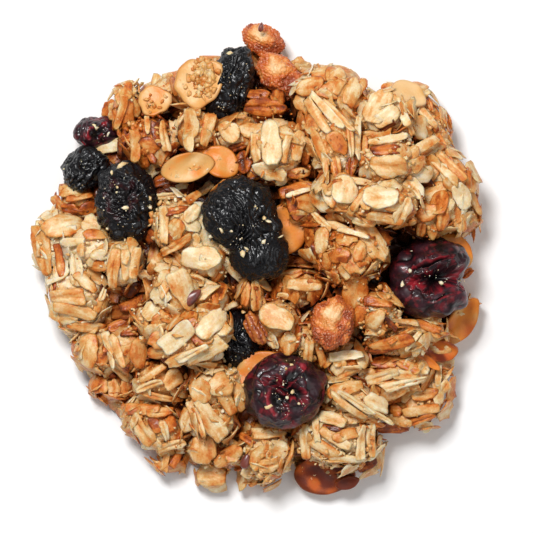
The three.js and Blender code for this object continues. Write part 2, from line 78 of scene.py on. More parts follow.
MOUND_HALF = (42.0, 44.0, 13.0)  # half sizes of the low mound under the clusters
LOWEST, HIGHEST = 0.05, 33.3  # no flake goes below or above these
CORE_UNDER = 0.05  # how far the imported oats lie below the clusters' domes
CORE_FOOT = 1.5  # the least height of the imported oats
CORE_RIM = 0.98  # their outline as a share of the heap's
CORE_UNDERCUT = 0.93  # their outline at the table as a share of that
CORE_CELLS, CORE_SIDE_ROWS = 286, 8
BED_INSET = 0.9  # how much a piece's bed in the oats is smaller than the piece
GAP_REACH = 5.5  # how far round a point its gap is felt

FLAKE_RINGS = (0.55, 0.88)
FLAKE_THICK = 0.38
MOST_TIP = 1.3  # the steepest tip of a scattered flake, in radians
TOP_SLOPE = 0.55  # the steepest slope that a flake read from the picture lies on
CRUMB_SPREAD = 1.6  # a crumb's reach for each unit of its size
CRUMB_SUNK = 0.25  # the share of its size that a crumb sinks
ALMOND_THICK = 1.4
ALMOND_TAPER = 0.28  # how much narrower a slice is at its tip
ALMOND_RINGS = (0.15, 0.3, 0.45, 0.6, 0.72, 0.82, 0.9, 0.96)
CHIPPED, SMOOTH_EDGE = 0.045, 0.012  # how ragged a broken slice's outline is, and a whole one's
LOBE_BLEND = 12  # the higher, the sharper the valleys between a fruit's lobes
NUT_WAVES, NUT_SIZE, NUT_RELIEF = 5.5, 0.92, 0.05  # the solids' own low waves
FLAX_THICK, FLAX_WIDE = 0.75, 0.52  # half a seed's thickness, and its width as a share of its length
TIP_TOP, TIP_HEIGHT = 40, 9.4  # a seed above this picture y lies on the nut at the tip, at this height
BESIDE_HEIGHT = 8  # the height of a seed beside the clusters

# Clusters of oats: picture x, y, half length, half width, turn in degrees, top height, thickness, and how
# roasted its oats are.
CLUSTERS = {
    "crown_tip": (330, 98, 7.0, 6.2, -20, 22, 17, 0.3),
    "crown_slats": (334, 143, 8.2, 5.8, -60, 27, 18, 0.4),
    "crown_brow": (386, 119, 6.2, 5.4, 0, 24, 18, 0.25),
    "crown_edge": (424, 122, 8.2, 4.8, -65, 15.5, 18, 0.35),
    "crown_middle": (386, 163, 6.2, 5.2, 0, 30, 18, 0.3),
    "crown_shoulder": (441, 178, 8.4, 6.2, -40, 19.5, 18, 0.35),
    "crown_front": (378, 204, 8.2, 4.6, 0, 31.5, 17, 0.3),
    "crown_left": (341, 193, 4.8, 4.8, 0, 29.5, 16, 0.3),
    "crown_skirt": (430, 212, 7.6, 4.4, 10, 21.5, 16, 0.4),
    "crown_chin": (458, 213, 4.8, 4.8, 0, 13.5, 16, 0.4),
    "crown_nub": (427, 229, 2.8, 2.4, 0, 17, 9, 0.45),
    "west_brow": (57, 241, 5.6, 6.2, 0, 12.5, 13, 0.13),
    "west_crown": (92, 246, 5.4, 4.8, 0, 17, 14, 0.19),
    "west_belly": (78, 293, 6.3, 7.6, 0, 14, 13, 0.22),
    "west_pair": (124, 262, 4.4, 5.2, 0, 20.5, 14, 0.28),
    "heart_west": (180, 226, 5.2, 5.6, 0, 24, 15, 0.3),
    "heart": (203, 257, 5.2, 4.6, 0, 23.5, 14, 0.2),
    "heart_south": (177, 288, 5.2, 5.6, 0, 24, 15, 0.3),
    "heart_gap": (148, 286, 2.8, 4.0, 0, 14, 8, 0.42),
    "crumb_ball": (157, 320, 4.7, 4.4, 0, 21, 13, 0.3),
    "rosette": (195, 336, 7.0, 5.2, 20, 25.5, 14, 0.36),
    "seed_bed": (209, 299, 4.4, 4.0, 0, 21.5, 12, 0.35),
    "southwest_lobe": (100, 350, 5.2, 4.6, 0, 12.5, 11, 0.36),
    "southwest_flakes": (128, 347, 4.6, 5.0, 0, 15.5, 12, 0.4),
    "southwest_foot": (115, 388, 5.0, 2.7, 0, 7.5, 9, 0.5),
    "southwest_slats": (160, 378, 4.8, 4.0, -20, 16, 11, 0.4),
    "south_wedge": (155, 425, 7.0, 4.8, -30, 12.5, 13, 0.4),
    "south_spur": (169, 461, 3.3, 2.3, 40, 6.5, 7.5, 0.5),
    "south_heart": (217, 385, 6.0, 4.6, 0, 19.5, 12, 0.28),
    "south_pair": (211, 417, 5.4, 4.0, -45, 17, 12, 0.3),
    "south_flake": (204, 448, 3.6, 3.4, 0, 11.5, 10, 0.34),
    "south_step": (231, 455, 3.8, 3.0, 20, 11, 10, 0.38),
    "south_toe": (212, 477, 3.1, 2.5, 0, 6, 7, 0.3),
    "south_crumb": (265, 450, 5.2, 5.4, 0, 14, 12, 0.34),
    "south_lip": (259, 480, 3.9, 2.1, 0, 6, 7, 0.4),
    "prow": (338, 436, 8.3, 6.0, -10, 17, 15, 0.25),
    "prow_slats": (354, 398, 7.0, 3.8, -30, 19, 13, 0.3),
    "prow_side": (366, 456, 3.4, 4.2, 0, 8.5, 9, 0.42),
    "southeast_slats": (397, 375, 6.6, 3.8, 10, 17, 12, 0.4),
    "southeast_rim": (418, 404, 6.6, 5.4, 20, 11.5, 12, 0.41),
    "southeast_nub": (440, 384, 2.6, 3.6, 0, 9.5, 9, 0.4),
    "caramel_slab": (396, 340, 7.0, 3.4, 0, 19.5, 13, 0.36),
    "caramel_knob": (376, 311, 4.5, 4.5, 0, 23.5, 14, 0.35),
    "caramel_ledge": (424, 328, 4.6, 2.4, -10, 15, 9, 0.38),
    "middle_gap": (352, 290, 3.6, 4.6, 0, 16, 10, 0.5),
    "middle_south": (306, 339, 3.6, 4.6, 0, 19.5, 13, 0.42),
    "middle_step": (347, 362, 4.0, 3.0, 0, 17.5, 11, 0.35),
    "middle_knob": (351, 254, 7.0, 6.0, 0, 26, 16, 0.45),
    "middle_west": (322, 238, 3.6, 4.8, 0, 22.5, 14, 0.5),
    "middle_flakes": (300, 286, 5.2, 3.2, 0, 20, 12, 0.45),
    "middle_split": (252, 295, 3.0, 3.6, 0, 20.5, 12, 0.5),
    "middle_dish": (277, 319, 4.6, 4.2, -30, 21.5, 13, 0.4),
    "middle_pair": (286, 345, 3.2, 2.6, 0, 18.5, 11, 0.4),
    "middle_north": (300, 202, 4.4, 4.4, 0, 21.5, 14, 0.6),
    "north_spire": (276, 150, 5.8, 6.6, 0, 25.5, 16, 0.3),
    "north_saddle": (236, 136, 4.8, 3.8, 0, 20, 12, 0.4),
    "north_lobes": (197, 130, 4.0, 4.2, 0, 21.5, 14, 0.35),
    "north_toast": (151, 141, 4.9, 5.0, 0, 18, 14, 0.55),
    "north_post": (124, 108, 3.2, 5.4, -10, 11, 13, 0.38),
    "north_bits": (250, 165, 3.6, 3.2, 0, 19.5, 10, 0.6),
    "north_step": (301, 169, 3.2, 3.0, 0, 19.5, 10, 0.45),
    "north_roast": (263, 106, 4.4, 3.0, 0, 17.5, 11, 0.65),
    "west_gap": (172, 193, 5.2, 3.2, 0, 15, 9, 0.65),
    "west_ledge": (78, 201, 4.4, 3.6, 0, 10.5, 10, 0.6),
}

# Clusters whose top is a crust of crumbs rather than flakes.
CRUMBLY = ("crumb_ball", "middle_knob", "south_crumb", "south_heart", "crown_middle", "heart_west", "prow",
           "middle_south", "north_toast", "caramel_knob")

# Dried fruit: the place of its middle, its top height, its lobes, each (x, y, z of its middle, half sizes along
# x, y and z, turn), and its dents, each (azimuth, elevation, width, depth as a share of the fruit's size).
FRUIT = {
    "dried_berry_centre": (
        (247, 229), 29,
        [(-1.4, 3.0, 0, 7.7, 7.5, 5.6, 0), (2.6, -5.2, -0.8, 6.3, 5.4, 4.8, 10), (1.6, -0.6, -0.6, 5.6, 6.0, 4.8, 0)],
        [(60, 50, 24, 0.1), (215, 45, 26, 0.09), (20, 15, 24, 0.08)],
    ),
    "dried_berry_west": (
        (127, 203), 21,
        [(0, 0, 0, 6.4, 8.7, 6, 8)],
        [(120, 55, 24, 0.09), (250, 60, 26, 0.1), (20, 35, 24, 0.07)],
    ),
    "dried_berry_shoulder": (
        (84, 170), 14.5,
        [(-0.6, 0, 0, 4.0, 4.7, 4.2, -20), (1.6, 1.2, 0, 3.6, 3.6, 3.8, 0)],
        [(90, 60, 24, 0.12)],
    ),
    "dried_berry_north": (
        (230, 84), 19,
        [(0, 0, 0, 4.9, 8.0, 5, -21)],
        [(60, 50, 24, 0.1), (250, 55, 26, 0.1)],
    ),
    "dried_berry_deep": (
        (238, 340), 17.5,
        [(0, 0, 0, 4.5, 5.8, 4, 10)],
        [(80, 60, 26, 0.1)],
    ),
    "dried_cranberry_south": (
        (285, 390), 23.5,
        [(-1.0, -0.2, 0, 7.4, 7.7, 5.6, 0), (2.8, 0.4, -0.3, 5.6, 6.4, 5.0, 0)],
        [(200, 68, 20, 0.14), (20, 66, 20, 0.12), (100, 55, 18, 0.1), (300, 50, 20, 0.09)],
    ),
    "dried_cranberry_east": (
        (430, 279), 21.5,
        [(0.4, 2.6, 0, 8.2, 5.4, 5.6, 10), (-0.4, -3.2, -0.2, 8.0, 5.0, 5.8, -4),
         (-2.6, 0, -0.4, 6.0, 7.2, 5.4, 0), (0.4, 6.6, -2.2, 4.0, 2.2, 3.0, 0)],
        [(340, 82, 16, 0.17), (5, 62, 17, 0.2), (8, 38, 18, 0.22), (10, 12, 20, 0.16)],
    ),
    "dried_cranberry_corner": (
        (95, 133), 10.5,
        [(-1.4, 0.2, 0, 3.4, 3.4, 3.6, 0), (1.8, 0.6, 0, 3.4, 2.8, 3.4, 20)],
        [(270, 50, 24, 0.12)],
    ),
}

# Hollows in the fruit's top: x, y off its middle, half length, half width, turn and depth.
HOLLOWS = {
    "dried_cranberry_east": [
        (1.8, 0.2, 4.8, 1.8, 14, 4.2), (0.2, 3.5, 4.8, 0.4, 20, 1.1), (2.4, -3.6, 2.6, 0.4, 20, 0.7)],
    "dried_cranberry_south": [
        (0.8, 0.4, 3.6, 1.2, -24, 1.9), (1.2, 3.0, 2.6, 1.0, 30, 1.2), (-1.6, -2.0, 1.6, 2.4, 20, 1.3)],
    "dried_berry_west": [(-1.4, 0.4, 2.6, 3.0, 0, 0.9)],
    "dried_cranberry_corner": [(0.6, 0.4, 2.0, 1.0, 30, 0.9)],
}

# The fruit's skin: columns and rows of its mesh, height and length of its wrinkles, height of its folds, and the
# point off its middle that the wrinkles run round.
SKINS = {
    "dried_berry_centre": (340, 220, 1.0, 1.02, 0.4, (-4.5, 1.5)),
    "dried_berry_west": (320, 200, 0.9, 1.0, 0.4, (-1.8, 0.6)),
    "dried_berry_shoulder": (200, 120, 0.9, 1.15, 0.6, (3.0, -4.0)),
    "dried_berry_north": (260, 150, 1.0, 1.2, 0.5, (-7.0, 3.0)),
    "dried_berry_deep": (190, 110, 1.0, 1.3, 0.4, (3.0, 2.0)),
    "dried_cranberry_south": (320, 200, 0.4, 2.2, 0.6, (0.5, 0.5)),
    "dried_cranberry_east": (320, 200, 0.25, 3.0, 0.5, (2.0, -9.0)),
    "dried_cranberry_corner": (200, 120, 0.4, 1.7, 0.4, (3.0, 2.0)),
}

# Nut pieces: picture x, y, half length, half width, half height, turn, top height.
NUTS = {
    "sugared_nut_middle": (332, 322, 5.8, 4.6, 5.0, 80, 27),
    "sugared_nut_north": (279, 74, 5.6, 4.0, 4.4, -42, 16.5),
    "sugared_nut_tip": (264, 39, 4.9, 3.4, 4.6, -25, 9.8),
    "pecan_sliver": (256, 328, 3.8, 1.9, 1.9, -63, 20.5),
}

# Almond slices: picture x, y, half length, half width, turn, middle height, lean, side it leans to, curl, and
# how brown its flat side is.
ALMONDS = {
    "almond_middle": (285, 229, 5.5, 4.9, 90, 17.6, 4, 0, 0.2, 0.5),
    "almond_east": (462, 322, 6.2, 3.4, 52, 7.6, 30, -30, 0.7, 0.52),
    "almond_northeast": (456, 251, 4.6, 3.4, -40, 11.4, 22, 20, 0.5, 0.54),
    "almond_tile": (441, 350, 4.2, 2.5, -12, 11, 24, -70, 1.4, 0.78),
    "almond_splinter": (428, 361, 3.4, 1.0, -36, 13, 10, -90, 0.1, 0.6),
    "almond_south": (325, 477, 6.7, 4.3, 0, 4.6, 12, -90, 0.6, 0.95),
    "almond_chip": (348, 484, 2.7, 1.5, 15, 6.4, 16, -80, 0.2, 1.15),
    "almond_under": (262, 370, 6.2, 4.2, 20, 16.2, 12, 140, 0.5, 0.5),
    "almond_north": (200, 83, 6.1, 5.7, 40, 17.2, 15, 150, 0.4, 0.24),
    "almond_northwest": (155, 101, 4.0, 3.7, 0, 13.2, 16, 110, 0.5, 0.3),
    "almond_saddle": (189, 168, 5.9, 3.2, 12, 21.2, 12, -60, 0.9, 0.26),
    "almond_saddle_back": (221, 163, 4.4, 3.4, -30, 19.6, 10, 60, 0.5, 0.5),
    "almond_crown": (408, 95, 4.2, 3.3, -25, 17.6, 38, 60, 0.4, 0.06),
}

# Flax seeds: picture x, y, turn in degrees, length in pixels.
FLAX = {
    "heart": (193, 297, 40, 23),
    "south": (246, 460, 70, 18),
    "tip": (261, 27, 80, 10),
    "prow": (375, 453, 60, 14),
}

# The flakes that show whole on top, area by area: picture x, y, length and width in pixels, turn in degrees,
# how roasted it is from 0, cream, to 1, brown, and how far it stands off the oats below it in mm.
TOP_FLAKES = {
    "north west": [
        (126, 93, 24, 13, 80, 0.45, 1.2), (128, 116, 37, 13, 86, 0.5, 0.8), (121, 112, 38, 9, 72, 0.4, 2.0),
        (108, 108, 21, 14, 45, 0.6, 0.8), (137, 109, 26, 7, 95, 0.62, 0.4), (157, 110, 32, 10, 5, 0.2, 0.4),
        (107, 146, 40, 15, 4, 0.12, 2.2), (130, 138, 20, 10, 20, 0.6, 0.4), (125, 155, 18, 12, 0, 0.9, 0.2),
        (136, 146, 32, 13, 92, 0.32, 1.2), (148, 125, 20, 6, 95, 0.35, 0.6), (145, 165, 12, 14, 90, 0.4, 0.6),
        (165, 138, 34, 10, 101, 0.25, 1.4), (174, 135, 34, 9, 93, 0.28, 1.3), (191, 131, 40, 17, 85, 0.28, 1.2),
        (208, 131, 34, 14, 73, 0.35, 1.0), (153, 170, 28, 13, 45, 0.2, 1.6), (183, 187, 15, 9, 15, 0.1, 0.8),
        (211, 137, 14, 10, 60, 0.25, 0.8), (199, 78, 14, 18, 70, 0.3, 1.0), (196, 88, 12, 9, 10, 0.05, 1.1),
        (208, 99, 16, 9, 35, 0.15, 0.9),
    ],
    "north": [
        (264, 108, 43, 20, -3, 0.62, 0.9), (257, 95, 26, 12, -8, 0.6, 0.3), (246, 117, 30, 9, -8, 0.4, 0.2),
        (230, 133, 26, 21, -50, 0.2, 0.7), (251, 131, 26, 17, -12, 0.22, 0.5), (271, 146, 46, 23, 94, 0.14, 1.4),
        (256, 149, 30, 12, 96, 0.3, 0.8), (285, 151, 28, 9, 78, 0.25, 1.2), (297, 148, 32, 16, 78, 0.4, 0.6),
        (306, 154, 28, 10, 82, 0.6, 0.1), (270, 173, 33, 22, -12, 0.24, 1.0), (281, 180, 16, 12, 80, 0.22, 0.8),
        (298, 174, 24, 14, -6, 0.35, 0.9), (244, 163, 24, 17, -80, 0.66, 0.8), (255, 174, 20, 14, 60, 0.5, 0.4),
        (238, 148, 20, 9, 22, 0.72, 0.2), (209, 151, 30, 13, -14, 0.38, 1.2),
    ],
    "crown": [
        (309, 88, 30, 20, 10, 0.3, 0.9), (322, 78, 22, 12, 0, 0.4, 0.6), (336, 79, 24, 13, 50, 0.35, 0.8),
        (338, 88, 22, 10, 62, 0.3, 1.2), (351, 94, 34, 17, 72, 0.22, 1.1), (358, 92, 34, 9, 58, 0.32, 1.6),
        (302, 106, 24, 15, -48, 0.24, 0.9), (316, 117, 50, 10, -58, 0.32, 1.3), (326, 113, 54, 9, -52, 0.16, 1.7),
        (336, 117, 50, 8, -50, 0.3, 1.2), (346, 113, 34, 11, -54, 0.26, 1.0), (340, 133, 24, 10, -30, 0.34, 1.0),
        (337, 145, 28, 17, -58, 0.55, 0.5), (319, 150, 42, 11, -66, 0.42, 0.6), (325, 169, 42, 6, 96, 0.2, 2.0),
        (349, 142, 36, 8, 97, 0.22, 1.5), (357, 140, 46, 8, 90, 0.16, 1.8), (335, 168, 26, 12, 100, 0.38, 0.8),
        (350, 168, 22, 12, 80, 0.5, 0.3), (363, 152, 30, 7, 85, 0.35, 0.5),
        (376, 109, 38, 30, 62, 0.16, 0.8), (385, 118, 32, 17, 36, 0.14, 1.3), (386, 127, 20, 9, 30, 0.95, 1.1),
        (375, 136, 36, 12, 6, 0.42, 1.0), (386, 141, 42, 9, 14, 0.1, 1.3), (399, 112, 38, 9, -66, 0.18, 1.2),
        (405, 121, 36, 7, -68, 0.24, 1.5), (390, 91, 20, 14, -32, 0.45, 0.6), (429, 105, 16, 7, -72, 0.6, 0.6),
        (420, 128, 28, 20, -62, 0.2, 1.0), (425, 116, 36, 8, -48, 0.32, 1.5), (432, 124, 22, 8, -58, 0.7, 0.7),
        (405, 137, 16, 9, -38, 0.12, 1.2), (422, 147, 38, 11, 38, 0.2, 1.4), (429, 153, 34, 12, 38, 0.3, 1.4),
        (411, 154, 18, 12, 52, 0.26, 1.0), (386, 168, 36, 26, -10, 0.2, 0.7), (384, 152, 30, 12, 0, 0.6, 0.2),
        (418, 176, 30, 19, 0, 0.16, 1.1), (412, 190, 25, 20, -42, 0.16, 1.0), (449, 166, 44, 9, -48, 0.28, 1.3),
        (442, 171, 40, 9, -46, 0.24, 1.0), (441, 145, 46, 9, -66, 0.38, 0.8), (460, 172, 18, 10, -70, 0.45, 0.7),
        (467, 182, 21, 8, 88, 0.5, 0.7), (431, 193, 30, 20, 12, 0.35, 0.8), (452, 186, 26, 14, -30, 0.3, 0.8),
    ],
    "crown front": [
        (343, 191, 29, 27, 90, 0.14, 1.2), (327, 197, 26, 13, -68, 0.2, 0.9), (379, 198, 38, 26, -5, 0.14, 1.2),
        (358, 183, 34, 8, -5, 0.22, 0.9), (400, 212, 30, 18, 66, 0.22, 0.9), (382, 219, 38, 12, -16, 0.36, 0.6),
        (350, 211, 42, 9, -4, 0.45, 0.3), (460, 196, 29, 19, -62, 0.08, 1.2), (474, 202, 32, 8, -62, 0.26, 1.0),
        (458, 221, 30, 14, -72, 0.42, 0.8), (441, 219, 26, 14, 82, 0.42, 0.8), (420, 230, 18, 10, 80, 0.45, 0.8),
        (431, 231, 20, 11, 95, 0.5, 0.9), (425, 213, 22, 18, 20, 0.4, 0.7), (447, 206, 16, 10, 60, 0.3, 1.0),
    ],
    "middle knob": [
        (339, 228, 36, 8, -24, 0.16, 2.0), (351, 233, 34, 6, -22, 0.1, 2.2), (362, 223, 24, 10, -12, 0.2, 1.4),
        (321, 222, 28, 8, -50, 0.18, 1.4), (371, 241, 48, 26, -52, 0.26, 0.6), (358, 252, 22, 14, 70, 0.3, 1.2),
        (343, 271, 20, 10, -70, 0.26, 0.9), (355, 290, 42, 25, 76, 0.36, 0.9), (366, 258, 30, 9, 40, 0.5, 0.6),
        (297, 190, 36, 15, 14, 0.55, 0.9), (298, 193, 29, 6, 20, 0.02, 1.9), (321, 241, 28, 17, 84, 0.26, 1.0),
        (291, 274, 24, 12, 12, 0.4, 0.6), (303, 285, 36, 12, -5, 0.24, 1.1), (289, 297, 24, 7, -14, 0.22, 1.3),
        (299, 303, 22, 10, 5, 0.34, 0.7), (246, 294, 26, 12, 82, 0.46, 0.8), (256, 296, 32, 12, 94, 0.36, 1.0),
        (277, 317, 38, 25, -28, 0.28, 1.0), (271, 339, 22, 13, -62, 0.15, 0.9), (288, 342, 25, 17, 82, 0.28, 1.0),
        (232, 269, 32, 10, -52, 0.22, 1.1), (308, 352, 32, 10, 86, 0.3, 1.0), (319, 352, 36, 8, -68, 0.5, 1.3),
        (263, 303, 16, 8, -60, 0.4, 0.7), (338, 256, 24, 16, 10, 0.6, 0.8), (318, 232, 12, 9, 0, 0.9, 0.6),
    ],
    "west": [
        (62, 226, 46, 25, 14, 0.16, 0.9), (42, 250, 50, 21, 101, 0.26, 0.8), (60, 262, 38, 9, -80, 0.5, 1.5),
        (75, 264, 42, 17, 95, 0.1, 1.1), (73, 242, 28, 9, 12, 0.12, 1.5), (92, 224, 22, 20, -30, 0.18, 0.8),
        (96, 235, 26, 12, 0, 0.5, 0.6), (82, 250, 15, 9, 92, 0.22, 1.0), (101, 255, 20, 13, 12, 0.08, 1.3),
        (99, 266, 24, 12, 6, 0.4, 0.9), (115, 270, 44, 13, 84, 0.32, 1.2), (127, 264, 32, 10, 92, 0.26, 1.2),
        (136, 263, 34, 12, 80, 0.3, 1.2), (97, 277, 28, 13, -36, 0.3, 0.5), (86, 282, 28, 12, -42, 0.22, 1.0),
        (68, 297, 42, 17, 4, 0.24, 0.8), (75, 311, 46, 14, -14, 0.3, 1.2), (100, 302, 24, 9, 62, 0.4, 0.7),
        (103, 294, 15, 7, 68, 0.05, 1.3), (86, 326, 38, 13, -14, 0.3, 0.9), (131, 289, 20, 18, 60, 0.95, 0.2),
        (132, 304, 29, 12, 14, 0.6, 0.9), (52, 286, 20, 9, 90, 0.55, 0.4), (119, 325, 24, 13, 22, 0.55, 0.7),
        (130, 332, 20, 9, 10, 0.6, 0.4), (165, 226, 39, 11, 92, 0.22, 1.1), (176, 246, 38, 10, 36, 0.28, 1.3),
        (178, 211, 24, 9, 15, 0.6, 0.9), (203, 224, 46, 19, 96, 0.08, 1.2), (193, 214, 24, 14, 55, 0.06, 1.4),
        (202, 258, 39, 25, 0, 0.1, 1.2), (153, 255, 36, 11, 86, 0.34, 0.8), (152, 236, 18, 14, 50, 0.8, 0.4),
        (184, 289, 46, 24, -66, 0.24, 1.1), (165, 284, 30, 14, 80, 0.22, 0.8), (146, 275, 20, 10, -28, 0.24, 0.8),
        (70, 192, 28, 12, -16, 0.3, 0.9), (79, 197, 30, 7, 12, 0.5, 1.2), (70, 209, 20, 13, 0, 0.66, 0.6),
        (87, 209, 22, 17, 10, 0.6, 0.6), (162, 215, 12, 8, 40, 0.3, 0.8),
        (167, 196, 28, 8, 12, 0.14, 1.0), (166, 181, 30, 14, 10, 0.72, 0.3), (190, 200, 32, 9, 40, 0.5, 0.6),
        (205, 189, 20, 9, 42, 0.3, 1.0), (172, 188, 20, 10, -20, 0.75, 0.3), (196, 280, 22, 12, -20, 0.2, 0.9),
    ],
    "rosette": [
        (178, 336, 48, 21, 40, 0.1, 1.1), (213, 322, 44, 21, 48, 0.12, 1.2), (207, 350, 44, 19, 30, 0.14, 1.2),
        (193, 352, 40, 8, 34, 0.08, 1.7), (183, 357, 40, 12, 32, 0.26, 0.7), (207, 283, 26, 10, -28, 0.24, 0.9),
        (222, 291, 20, 11, 62, 0.55, 0.8), (216, 299, 14, 9, 80, 0.6, 0.6), (218, 274, 22, 10, 60, 0.36, 0.7),
        (230, 306, 22, 7, 28, 0.2, 0.8), (160, 352, 26, 15, 12, 0.32, 0.8), (215, 357, 20, 8, 20, 0.0, 1.5),
    ],
    "south west": [
        (89, 351, 36, 24, 82, 0.26, 0.8), (110, 350, 38, 10, -76, 0.24, 1.2), (118, 350, 38, 10, -66, 0.32, 1.3),
        (107, 342, 26, 7, 80, 0.7, 0.9), (139, 353, 32, 19, 92, 0.42, 1.0), (121, 373, 28, 10, -42, 0.24, 1.0),
        (99, 386, 18, 20, 80, 0.5, 0.8), (113, 389, 20, 13, 88, 0.36, 0.9), (124, 389, 20, 13, 86, 0.55, 0.8),
        (133, 389, 20, 11, 78, 0.4, 0.8), (105, 375, 22, 10, -20, 0.75, 0.6), (153, 373, 32, 8, 34, 0.26, 1.0),
        (150, 385, 32, 8, 28, 0.22, 1.3), (160, 396, 44, 8, -16, 0.28, 1.2), (173, 379, 26, 18, 42, 0.4, 0.9),
        (170, 358, 16, 12, 40, 0.85, 0.2), (160, 412, 28, 11, 12, 0.36, 1.0), (141, 409, 38, 13, -6, 0.5, 0.8),
        (143, 430, 38, 16, -52, 0.2, 0.9), (170, 424, 20, 15, 60, 0.5, 0.7), (165, 431, 22, 8, -74, 0.18, 1.2),
        (155, 424, 20, 12, -60, 0.75, 0.5), (172, 446, 32, 11, 14, 0.16, 1.2), (165, 462, 24, 8, 82, 0.36, 1.0),
        (177, 457, 28, 9, 62, 0.55, 0.8), (159, 468, 14, 12, -30, 0.42, 0.6), (152, 441, 22, 12, -30, 0.2, 1.0),
    ],
    "south": [
        (201, 390, 26, 26, 80, 0.34, 0.8), (221, 384, 26, 24, 20, 0.36, 0.7), (226, 398, 36, 14, -64, 0.3, 0.8),
        (212, 420, 46, 19, -58, 0.22, 1.1), (197, 417, 46, 11, -66, 0.26, 0.9), (234, 421, 20, 11, -50, 0.55, 0.3),
        (203, 449, 31, 28, 90, 0.38, 0.8), (229, 456, 34, 18, 32, 0.46, 1.0), (211, 477, 30, 25, 0, 0.28, 0.7),
        (222, 441, 22, 6, -5, 0.8, 0.4), (268, 433, 36, 11, 4, 0.2, 1.0), (269, 465, 22, 17, 10, 0.32, 1.0),
        (283, 440, 24, 8, -70, 0.3, 0.9), (249, 470, 22, 13, 62, 0.26, 0.8), (268, 478, 28, 7, 8, 0.6, 0.6),
        (252, 482, 14, 11, 40, 0.24, 0.8), (247, 439, 22, 8, -40, 0.5, 0.9), (240, 396, 34, 16, -75, 0.34, 0.7),
    ],
    "prow": [
        (305, 441, 38, 13, 96, 0.2, 1.0), (316, 428, 28, 8, 96, 0.22, 1.3), (332, 418, 32, 14, -24, 0.12, 1.5),
        (334, 437, 36, 12, -30, 0.18, 1.0), (325, 448, 40, 14, -34, 0.3, 0.8), (346, 458, 36, 9, -6, 0.1, 1.1),
        (345, 434, 28, 12, 20, 0.3, 0.9), (361, 442, 36, 10, 84, 0.26, 1.1), (371, 440, 34, 11, 93, 0.3, 0.9),
        (366, 466, 26, 12, 32, 0.6, 0.5), (345, 388, 38, 16, 18, 0.36, 0.6), (347, 405, 46, 8, -38, 0.26, 1.3),
        (356, 402, 46, 7, -37, 0.14, 1.6), (377, 414, 40, 6, -36, 0.12, 1.5), (376, 402, 30, 18, -24, 0.1, 1.2),
        (345, 355, 34, 12, 5, 0.1, 1.4), (338, 366, 20, 15, 60, 0.22, 0.8), (349, 371, 28, 9, 28, 0.28, 0.8),
        (342, 396, 16, 8, 15, 0.05, 1.4), (372, 421, 30, 7, -34, 0.4, 0.8), (330, 427, 26, 6, -20, 0.8, 0.6),
    ],
    "south east": [
        (367, 375, 19, 15, 20, 0.24, 1.0), (381, 376, 40, 11, 24, 0.14, 1.3), (403, 383, 50, 9, 9, 0.06, 1.7),
        (386, 362, 30, 14, -10, 0.55, 0.4), (404, 374, 28, 10, 0, 0.28, 1.0), (408, 366, 26, 12, -30, 0.45, 0.6),
        (400, 398, 26, 8, 36, 0.5, 0.5), (409, 394, 24, 8, 52, 0.36, 0.8), (396, 411, 15, 13, 0, 0.45, 0.8),
        (424, 394, 30, 14, 14, 0.26, 0.9), (438, 395, 26, 13, -82, 0.28, 0.8), (421, 410, 40, 11, 8, 0.26, 1.1),
        (422, 419, 30, 9, 22, 0.5, 0.7), (390, 428, 44, 13, -4, 0.62, 0.5), (439, 375, 24, 7, 84, 0.26, 1.0),
        (444, 388, 18, 12, 50, 0.35, 0.8), (450, 366, 16, 12, 60, 0.24, 0.8), (400, 421, 26, 12, -10, 0.3, 0.8),
        (388, 383, 24, 6, 10, 0.3, 1.2),
    ],
    "caramel": [
        (390, 343, 50, 15, 22, 0.5, 1.4), (400, 335, 34, 6, 38, 0.35, 1.7), (411, 341, 26, 6, 52, 0.05, 1.6),
        (380, 350, 28, 6, 14, 0.75, 1.4), (408, 325, 40, 7, -18, 0.4, 1.0), (402, 321, 34, 6, -14, 0.25, 0.8),
        (428, 326, 28, 11, -22, 0.55, 1.1), (377, 302, 30, 10, -12, 0.5, 0.7), (374, 318, 26, 16, 50, 0.3, 1.0),
        (358, 315, 26, 14, 60, 0.55, 0.5), (352, 332, 26, 16, 85, 0.4, 0.4), (452, 313, 20, 12, 20, 0.45, 0.8),
        (388, 322, 24, 6, -50, 0.85, 0.8), (470, 273, 14, 8, 40, 0.6, 0.9), (385, 290, 22, 10, -60, 0.5, 0.5),
        (443, 245, 16, 6, -20, 0.2, 0.8), (465, 262, 16, 10, 60, 0.4, 1.0),
    ],
}

# Cream crumbs stuck on the fruit: picture x, y, size in pixels.
CRUMBS_ON_FRUIT = (
    (68, 168, 7), (103, 176, 5), (113, 173, 4), (123, 167, 6), (97, 187, 6), (127, 208, 5), (151, 199, 4),
    (76, 174, 3), (119, 188, 2.5), (118, 193, 2), (108, 229, 3), (151, 208, 3), (256, 209, 3.5), (264, 219, 4),
    (269, 222, 4), (212, 236, 5), (222, 231, 4), (264, 242, 4), (247, 249, 4), (243, 254, 4), (215, 201, 4),
    (206, 203, 3), (236, 213, 2.5), (232, 232, 2.5), (281, 237, 5), (261, 277, 3), (243, 273, 3), (401, 287, 8),
    (427, 313, 8), (434, 304, 5), (266, 393, 7), (268, 405, 6), (398, 296, 4), (397, 279, 4), (252, 380, 4),
    (257, 398, 4), (275, 415, 5), (292, 390, 4), (298, 402, 4), (286, 368, 4), (291, 364, 5), (438, 298, 6),
    (409, 271, 4), (398, 262, 3), (440, 283, 4), (418, 246, 4), (412, 252, 6), (283, 383, 3), (287, 396, 3),
    (95, 126, 5), (107, 134, 7), (76, 148, 4), (230, 54, 4), (453, 310, 4), (450, 297, 5), (421, 298, 3),
)

